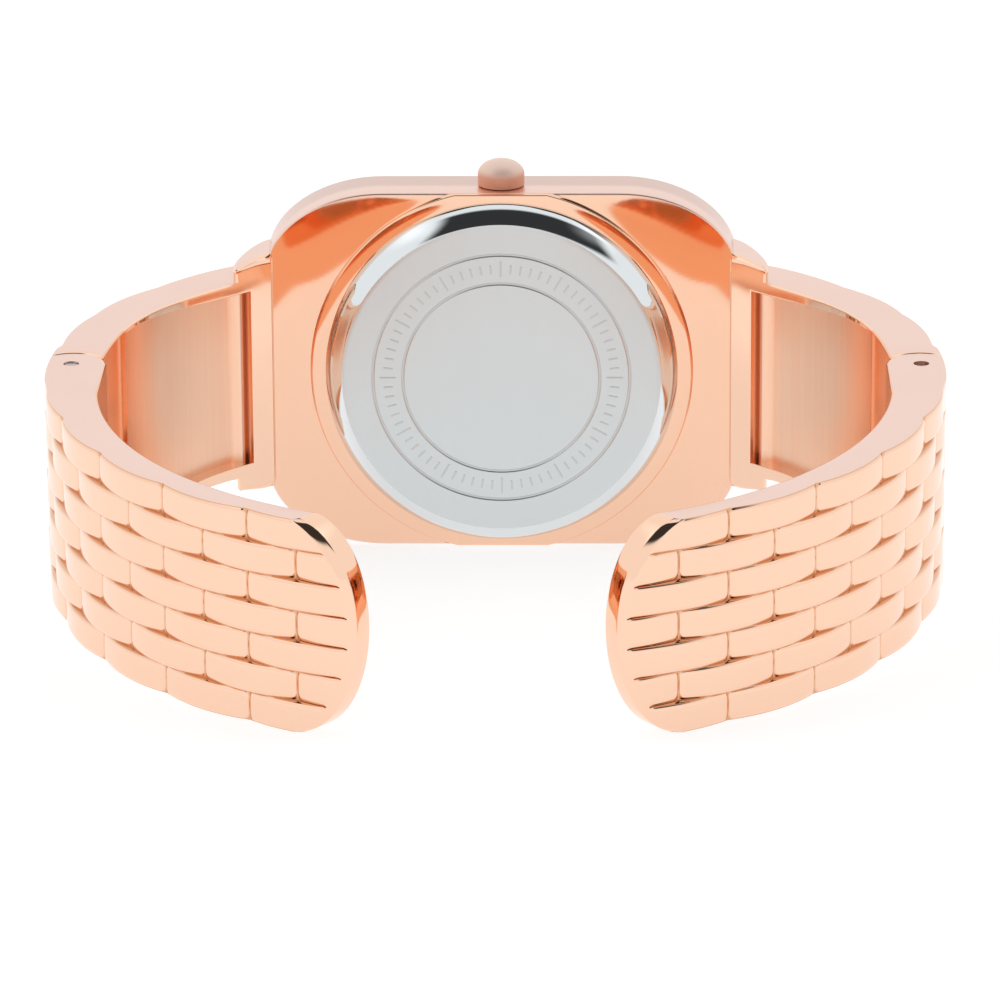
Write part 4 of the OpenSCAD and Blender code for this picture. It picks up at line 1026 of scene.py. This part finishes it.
def caseBackGasket():
    low, high = heights("case_back_gasket")
    inner, outer = 12.46, 12.94
    profile = [((inner + outer) / 2 + (outer - inner) / 2 * math.cos(rad(a)),
                (low + high) / 2 + (high - low) / 2 * math.sin(rad(a))) for a in range(0, 360, 30)]
    mesh = turned("caseBackGasket", profile, (0, 0, 0), "Y", count=96, closed=True, sharp=60)
    return finished("caseBackGasket", mesh, sealRubber)


def dialPlate():
    low, high = heights("dial")
    hole = 0.95
    rings = [circleRing(hole, low), dialRing(-0.02, low), dialRing(0, low + 0.02), dialRing(0, high - 0.04)]
    track = ((-0.04, 0), (-1.6, 0), (-1.66, 0.02), (-1.74, 0.02), (-1.8, 0))  # a fine groove beside the minutes
    rings += [dialRing(grow, high - down) for grow, down in track]
    rings += [circleRing(hole + 0.05, high), circleRing(hole, high - 0.05)]
    return finished("dialPlate", shell("dialPlate", rings, closed=True, sharp=30), dialLacquer)


def dialRingPiece():
    low, high = heights("dial_ring")
    rings = [dialRing(grow, y) for grow, y in ((0.08, low), (0.08, high - 0.03), (0.05, high), (-0.12, high),
                                               (-0.16, high - 0.03), (-0.74, low + 0.12), (-0.78, low + 0.03),
                                               (-0.78, low))]
    return finished("dialRing", shell("dialRing", rings, closed=True, sharp=30), rosePolished)


markers = {"inset": 1.2, "hourLength": 1.9, "hourWidth": 0.55, "hourTop": 0.55,
           "minuteLength": 0.6, "minuteWidth": 0.09, "minuteHeight": 0.012, "minuteTop": 0.9}


def markerSpots(count, y, length, skip=None):  # bars all round the dial, with their outer ends along its edge
    spots = []
    for i in range(count):
        if skip and i % skip == 0:
            continue
        turn = 360 // count * i
        a = rad(turn)
        reach = cushion(a, *(dialSize[key] - markers["inset"] for key in cushionKeys)) - length / 2
        spots.append((reach * math.cos(a), y, reach * math.sin(a), -turn, length))
    return spots


def hourMarkers():
    low, high = heights("hour_markers")
    spots = markerSpots(12, (low + high) / 2, markers["hourLength"])
    return bars("hourMarkers", spots, markers["hourWidth"], -(high - low), markers["hourTop"], rosePolished)


def minuteTrack():
    spots = markerSpots(60, heights("dial")[1] + 0.004, markers["minuteLength"], skip=5)
    return bars("minuteTrack", spots, markers["minuteWidth"], -markers["minuteHeight"], markers["minuteTop"], dialInk)


hands = {  # turn from the crown's side of the dial, in degrees
    "hour_hand": {"turn": 145, "length": 6.2, "tail": 1.6, "width": 0.95, "hub": 1.1},
    "minute_hand": {"turn": 30, "length": 9.2, "tail": 2.0, "width": 0.7, "hub": 0.85},
    "second_hand": {"turn": -120, "length": 9.6, "tail": 2.8, "width": 0.16, "hub": 0.5}}


handShape = {"neck": 0.42, "shoulder": 0.44, "widest": 0.6, "point": ((0.1, 0.07), (0, 0.03)), "ridge": 0.25,
             "hubSteps": 16}


def hand(node):
    turn, length, tail, width, hub = hands[node].values()
    low, high = heights(node)
    neck = width * handShape["neck"]
    start = math.degrees(math.asin(min(neck / hub, 1)))
    arc = [polar(hub, a) for a in between(start, 180 - start, handShape["hubSteps"])[1:-1]]
    side = [(-tail, width / 3), (-hub, neck)] + [(-x, w) for x, w in arc]
    side += [(hub + 0.02, width * handShape["shoulder"]), (length * handShape["widest"], width / 2)]
    side += [(length - short, w) for short, w in handShape["point"]]
    outline = side + [(x, -w) for x, w in reversed(side)]

    def spot(x, w, y):  # a point of the hand, x along it and w across it
        a = rad(turn)
        return place(x * math.sin(a) + w * math.cos(a), y, x * math.cos(a) - w * math.sin(a))
    levels = ((low, 1), ((low + high) / 2, 1), (high, handShape["ridge"]))  # the upper side narrows to a ridge
    bm = bmesh.new()
    verts = [[bm.verts.new(spot(x, w * share, y)) for x, w in outline] for y, share in levels]
    for a, b in zip(verts, verts[1:]):
        skin(bm, a, b)
    for ring in (verts[0], verts[-1]):
        border = [bm.edges.get((ring[i], ring[(i + 1) % len(ring)])) for i in range(len(ring))]
        bmesh.ops.triangle_fill(bm, edges=border, use_beauty=True)
    bmesh.ops.remove_doubles(bm, verts=bm.verts, dist=1e-7)
    return finished(node.replace("_h", "H"), finishMesh(bm, node, 20), rosePolished)


def upright(node):  # middle in x and y, radius, lowest and highest place of a round CAD piece that stands along Z
    low, high = nodeBox(node)
    return ((low[0] + high[0]) / 2, (low[1] + high[1]) / 2, 0), (high[0] - low[0]) / 2, low[2], high[2]


crownSize = {"radius": 1.75, "clear": 0.05, "side": 0.8, "height": 1.92, "domeSteps": 18, "tint": (-0.2, 0.6)}


def crownPiece():
    middle = (0, upright("crown")[0][1], 0)
    radius, steps, base = crownSize["radius"], crownSize["domeSteps"], caseSize["halfZ"] + crownSize["clear"]
    side, top = base + crownSize["side"], base + crownSize["height"]
    profile = [(0, base + 0.05), (1.3, base + 0.05), (1.5, base), (1.68, base), (1.73, base + 0.02),
               (radius, base + 0.07), (radius, side)]
    for a in between(0, math.pi / 2, steps)[1:-1]:
        profile.append((radius * math.cos(a), side + (top - side) * math.sin(a)))
    profile.append((0, top))
    mesh = turned("crownPiece", profile, middle, "Z", count=96, sharp=40)
    paintedSideShade = mesh.attributes.new("groove", "FLOAT", "POINT")  # painted shade and reflection: the side is painted a deeper copper than the dome
    for vert, item in zip(mesh.vertices, paintedSideShade.data):
        item.value = 1 - smooth((vert.co.z - place(0, 0, side).z) / mm, *crownSize["tint"])
    return finished("crownPiece", mesh, roseCrown)


def settingStem():
    middle, radius, low, high = upright("setting_stem")
    end = high - 0.75  # inside the crown, below its dome
    profile = [(0, low), (radius - 0.08, low), (radius, low + 0.08)]
    for z in between(low, end, 9)[1:-1]:
        profile += [(radius, z - 0.1), (radius - 0.06, z - 0.05), (radius - 0.06, z + 0.05), (radius, z + 0.1)]
    profile += [(radius, end - 0.08), (radius - 0.08, end), (0, end)]
    return finished("settingStem", turned("settingStem", profile, middle, "Z", count=32, sharp=40), steelPlain)


def pin(node):
    middle, r, low, high = upright(node)
    tip = [(0, 0), (r - 0.1, 0), (r - 0.03, 0.02), (r, 0.09)]  # radius, and distance from the pin's end
    profile = [(radius, low + z) for radius, z in tip] + [(r, z) for z in (-6, -3, 3, 6)]
    profile += [(radius, high - z) for radius, z in reversed(tip)]
    name = node.split("_")[0] + "HingePin"
    return finished(name, turned(node, profile, middle, "Z", count=48, sharp=40), steelPlain)


def tubeTree():
    # A round wire along the edges of a mesh path
    tree, start, end = newTree("Wire along path", "GeometryNodeTree", {
        "Geometry": ("Geometry", None), "Wire Radius": ("Float", 0.0002), "Sides": ("Int", 10),
        "Material": ("Material", None)}, {"Geometry": "Geometry"})
    path = add(tree, "GeometryNodeMeshToCurve", {"Mesh": start["Geometry"]})
    ring = add(tree, "GeometryNodeCurvePrimitiveCircle", {"Resolution": start["Sides"], "Radius": start["Wire Radius"]})
    tube = add(tree, "GeometryNodeCurveToMesh",
               {"Curve": path.outputs[0], "Profile Curve": ring.outputs[0], "Fill Caps": True})
    soft = add(tree, "GeometryNodeSetShadeSmooth", {"Geometry": tube.outputs[0]})
    return closeTree(tree, end, soft, start["Material"])


wireAlongPath = tubeTree()


def wire(name, points, radius, mat, sides=10):
    mesh = bpy.data.meshes.new(name)
    mesh.from_pydata(points, [(i, i + 1) for i in range(len(points) - 1)], [])
    return grown(newObject(name, mesh), wireAlongPath, {"Wire Radius": radius * mm, "Sides": sides, "Material": mat})


spring = {"radius": 0.95, "wire": 0.2, "pitch": 0.88, "curls": 5, "leg": 3.2, "steps": 24}


def hingeSpring(name, side):
    half = spring["pitch"] * spring["curls"] / 2
    count = spring["steps"] * spring["curls"]
    r = spring["radius"]
    line = [(-r, -spring["leg"], -half), (-r, -spring["leg"] / 2, -half)]
    for i in range(count + 1):
        line.append((*polar(r, 180 - 360 * i / spring["steps"]), -half + 2 * half * i / count))
    line += [(-r, spring["leg"] / 2, half), (-r, spring["leg"], half)]
    return wire(name, [place(side * (hingeX + x), y, z) for x, y, z in line], spring["wire"], steelPlain)


winding = {"thread": 0.06, "turns": 56, "steps": 14, "sides": 5}


def coilWinding():
    low, high = nodeBox("coil_winding")
    middle = [(a + b) / 2 for a, b in zip(low, high)]
    thread, count = winding["thread"], winding["turns"] * winding["steps"]
    radius = (high[1] - low[1]) / 2 - thread
    alongX = high[0] - low[0] > high[2] - low[2]
    span = (high[0] - low[0] if alongX else high[2] - low[2]) - 2 * thread
    points = []
    for i in range(count + 1):
        a = 2 * math.pi * i / winding["steps"]
        t, u, v = -span / 2 + span * i / count, radius * math.cos(a), radius * math.sin(a)
        points.append(place(*(m + s for m, s in zip(middle, (t, u, v) if alongX else (u, v, t)))))
    return wire("coilWinding", points, thread, copperWire, winding["sides"])


builders = {"case_middle": caseMiddle, "case_back": caseBack, "bezel": bezel, "crystal": crystal,
            "crystal_gasket": crystalGasket, "case_back_gasket": caseBackGasket, "dial": dialPlate,
            "dial_ring": dialRingPiece, "hour_markers": hourMarkers, "crown": crownPiece, "setting_stem": settingStem}
for node, build in builders.items():
    pieces[node] = build()
for node in ("left_hinge_pin", "right_hinge_pin"):
    pieces[node] = pin(node)
for node in hands:
    pieces[node] = hand(node)
pieces["left_hinge_spring"] = hingeSpring("leftHingeSpring", -1)
pieces["right_hinge_spring"] = hingeSpring("rightHingeSpring", 1)
pieces["coil_winding"] = coilWinding()
print("case, dial, hands and hinges made")

bodyOf = {node: body for body, nodes in frame["record"]["behaviour"]["bodies"].items() for node in nodes}
for node, obj in pieces.items():
    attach(obj, bodyOf[node])
    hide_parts(node)
for obj in (caseBackTicks(), minuteTrack()):
    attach(obj, "watch_head")

# Finishes of the CAD pieces that stay
finishOf = {
    brassSatin: ["main_plate", "intermediate_wheel", "seconds_wheel", "third_wheel", "centre_wheel", "minute_wheel",
                 "hour_wheel"],
    steelPlain: ["train_bridge", "quartz_resonator", "coil_core", "stator", "battery", "battery_strap",
                 "movement_screws", "crown_tube", "sliding_pinion", "setting_lever"],
    holderPlastic: ["movement_holder"], boardGreen: ["circuit_board"], magnetDark: ["rotor"],
    sealRubber: ["crown_gasket"]}
for mat, nodes in finishOf.items():
    for node in nodes:
        obj = frame["nodes"][node]
        obj.data.materials.clear()
        obj.data.materials.append(mat)
print("pieces ride on their bodies")

# Floor, light and camera
studio = {"paper": (0.34, 0.34, 0.34), "fibre": (0.36, 0.36, 0.36), "lift": 0.80, "world": 1.0, "ceiling": 0.35,
          "flag": 0.96, "floorSize": 900, "floorSteps": 24, "tipTurn": -66}


def lightPath(tree):
    path = tree.nodes.new("ShaderNodeLightPath").outputs
    return [Term(tree, path[key]) for key in ("Is Camera Ray", "Is Glossy Ray", "Is Transmission Ray")]


def floor():
    # The watch rests on the lower edge of the case and on the lower edges of both tips
    foot = (caseSize["plateY"], -caseSize["halfZ"])
    heel = (outside(studio["tipTurn"])[1], -band["halfHeight"])
    slope = (heel[1] - foot[1]) / (heel[0] - foot[0])
    size, steps = studio["floorSize"], studio["floorSteps"]
    bm = bmesh.new()
    marks = between(-size, size, steps)
    grid = [[bm.verts.new(place(x, y, foot[1] + (y - foot[0]) * slope - 0.02)) for x in marks] for y in marks]
    for a, b in zip(grid, grid[1:]):
        for i in range(steps):
            bm.faces.new((a[i], a[i + 1], b[i + 1], b[i]))
    mat = bpy.data.materials.new("white paper floor")
    tree = blankTree(mat)
    coord = tree.nodes.new("ShaderNodeTexCoord").outputs["Object"]
    fibre = add(tree, "ShaderNodeTexNoise", {"Vector": coord, "Scale": 900.0, "Detail": 2.0})
    tint = blend(tree, fibre.outputs["Fac"], (*studio["paper"], 1), (*studio["fibre"], 1))
    paper = add(tree, "ShaderNodeBsdfDiffuse", {"Color": tint})
    camera, glossy, glass = lightPath(tree)
    seen = camera.do("MAXIMUM", glossy).do("MAXIMUM", glass)
    glow = add(tree, "ShaderNodeEmission", {"Strength": seen * studio["lift"]})
    both = add(tree, "ShaderNodeAddShader", {0: paper.outputs[0], 1: glow.outputs[0]})
    add(tree, "ShaderNodeOutputMaterial", {"Surface": both.outputs[0]})
    finished("floor", toMesh(bm, "floor"), mat)


def world():
    scene.world = bpy.data.worlds.new("studio")
    tree = blankTree(scene.world)
    coord = tree.nodes.new("ShaderNodeTexCoord").outputs["Generated"]
    part = add(tree, "ShaderNodeSeparateXYZ", {0: coord})
    x, y, z = (Term(tree, part.outputs[i]) for i in range(3))

    def step(value, low, high):
        node = add(tree, "ShaderNodeMapRange", {0: value, 1: low, 2: high}, interpolation_type="SMOOTHSTEP")
        return Term(tree, node.outputs[0])
    # A dark flag above the camera, and a brighter ceiling at both sides
    dark = step(z, 0.40, 0.52) * step(x, -0.52, -0.38) * (1.0 - step(x, 0.64, 0.78)) * step(y * -1.0, -0.06, 0.1)
    sides = step(z, 0.55, 0.8) * step(x.do("ABSOLUTE"), 0.44, 0.7)
    level = (1.0 - dark * studio["flag"]) * studio["world"] + sides * studio["ceiling"]
    camera = lightPath(tree)[0]  # the camera itself sees plain white
    light = add(tree, "ShaderNodeBackground", {"Color": (1, 1, 1, 1), "Strength": level * (1.0 - camera) + camera})
    add(tree, "ShaderNodeOutputWorld", {"Surface": light.outputs[0]})


def lamp(name, at, aim, size, power):
    data = bpy.data.lights.new(name, "AREA")
    data.shape = "RECTANGLE"
    data.size, data.size_y = size[0] * mm, size[1] * mm
    data.energy = power
    obj = newObject(name, data)
    obj.location = place(*at)
    obj.rotation_euler = (place(*aim) - place(*at)).to_track_quat("-Z", "Y").to_euler()
    obj.visible_glossy = False


shot = {"distance": 500, "azimuth": 1.14, "elevation": 19.37, "roll": -0.37, "focal": 6900, "frame": 1000,
        "sensor": 36, "look": (0.24, 0, -2.71)}  # focal and frame in pixels


def camera():
    data = bpy.data.cameras.new("photo")
    data.sensor_width = shot["sensor"]
    data.lens = shot["focal"] / shot["frame"] * shot["sensor"]
    data.clip_start, data.clip_end = 0.02, 10
    az, el, roll = rad(shot["azimuth"]), rad(shot["elevation"]), rad(shot["roll"])
    back = Vector((math.sin(az) * math.cos(el), -math.cos(az) * math.cos(el), math.sin(el)))
    right = Vector((math.cos(az), math.sin(az), 0))
    up = back.cross(right)
    turnedRight = math.cos(roll) * right + math.sin(roll) * up
    turnedUp = -math.sin(roll) * right + math.cos(roll) * up
    obj = newObject("photo", data)
    spot = place(*shot["look"]) + back * shot["distance"] * mm
    obj.matrix_world = Matrix.Translation(spot) @ Matrix((turnedRight, turnedUp, back)).transposed().to_4x4()
    scene.camera = obj


floor()
world()
lamp("topLight", (0, -60, 420), (0, 0, 0), (420, 420), 0.05)
camera()
scene.view_settings.view_transform = "Standard"
print("stage, light and camera set")
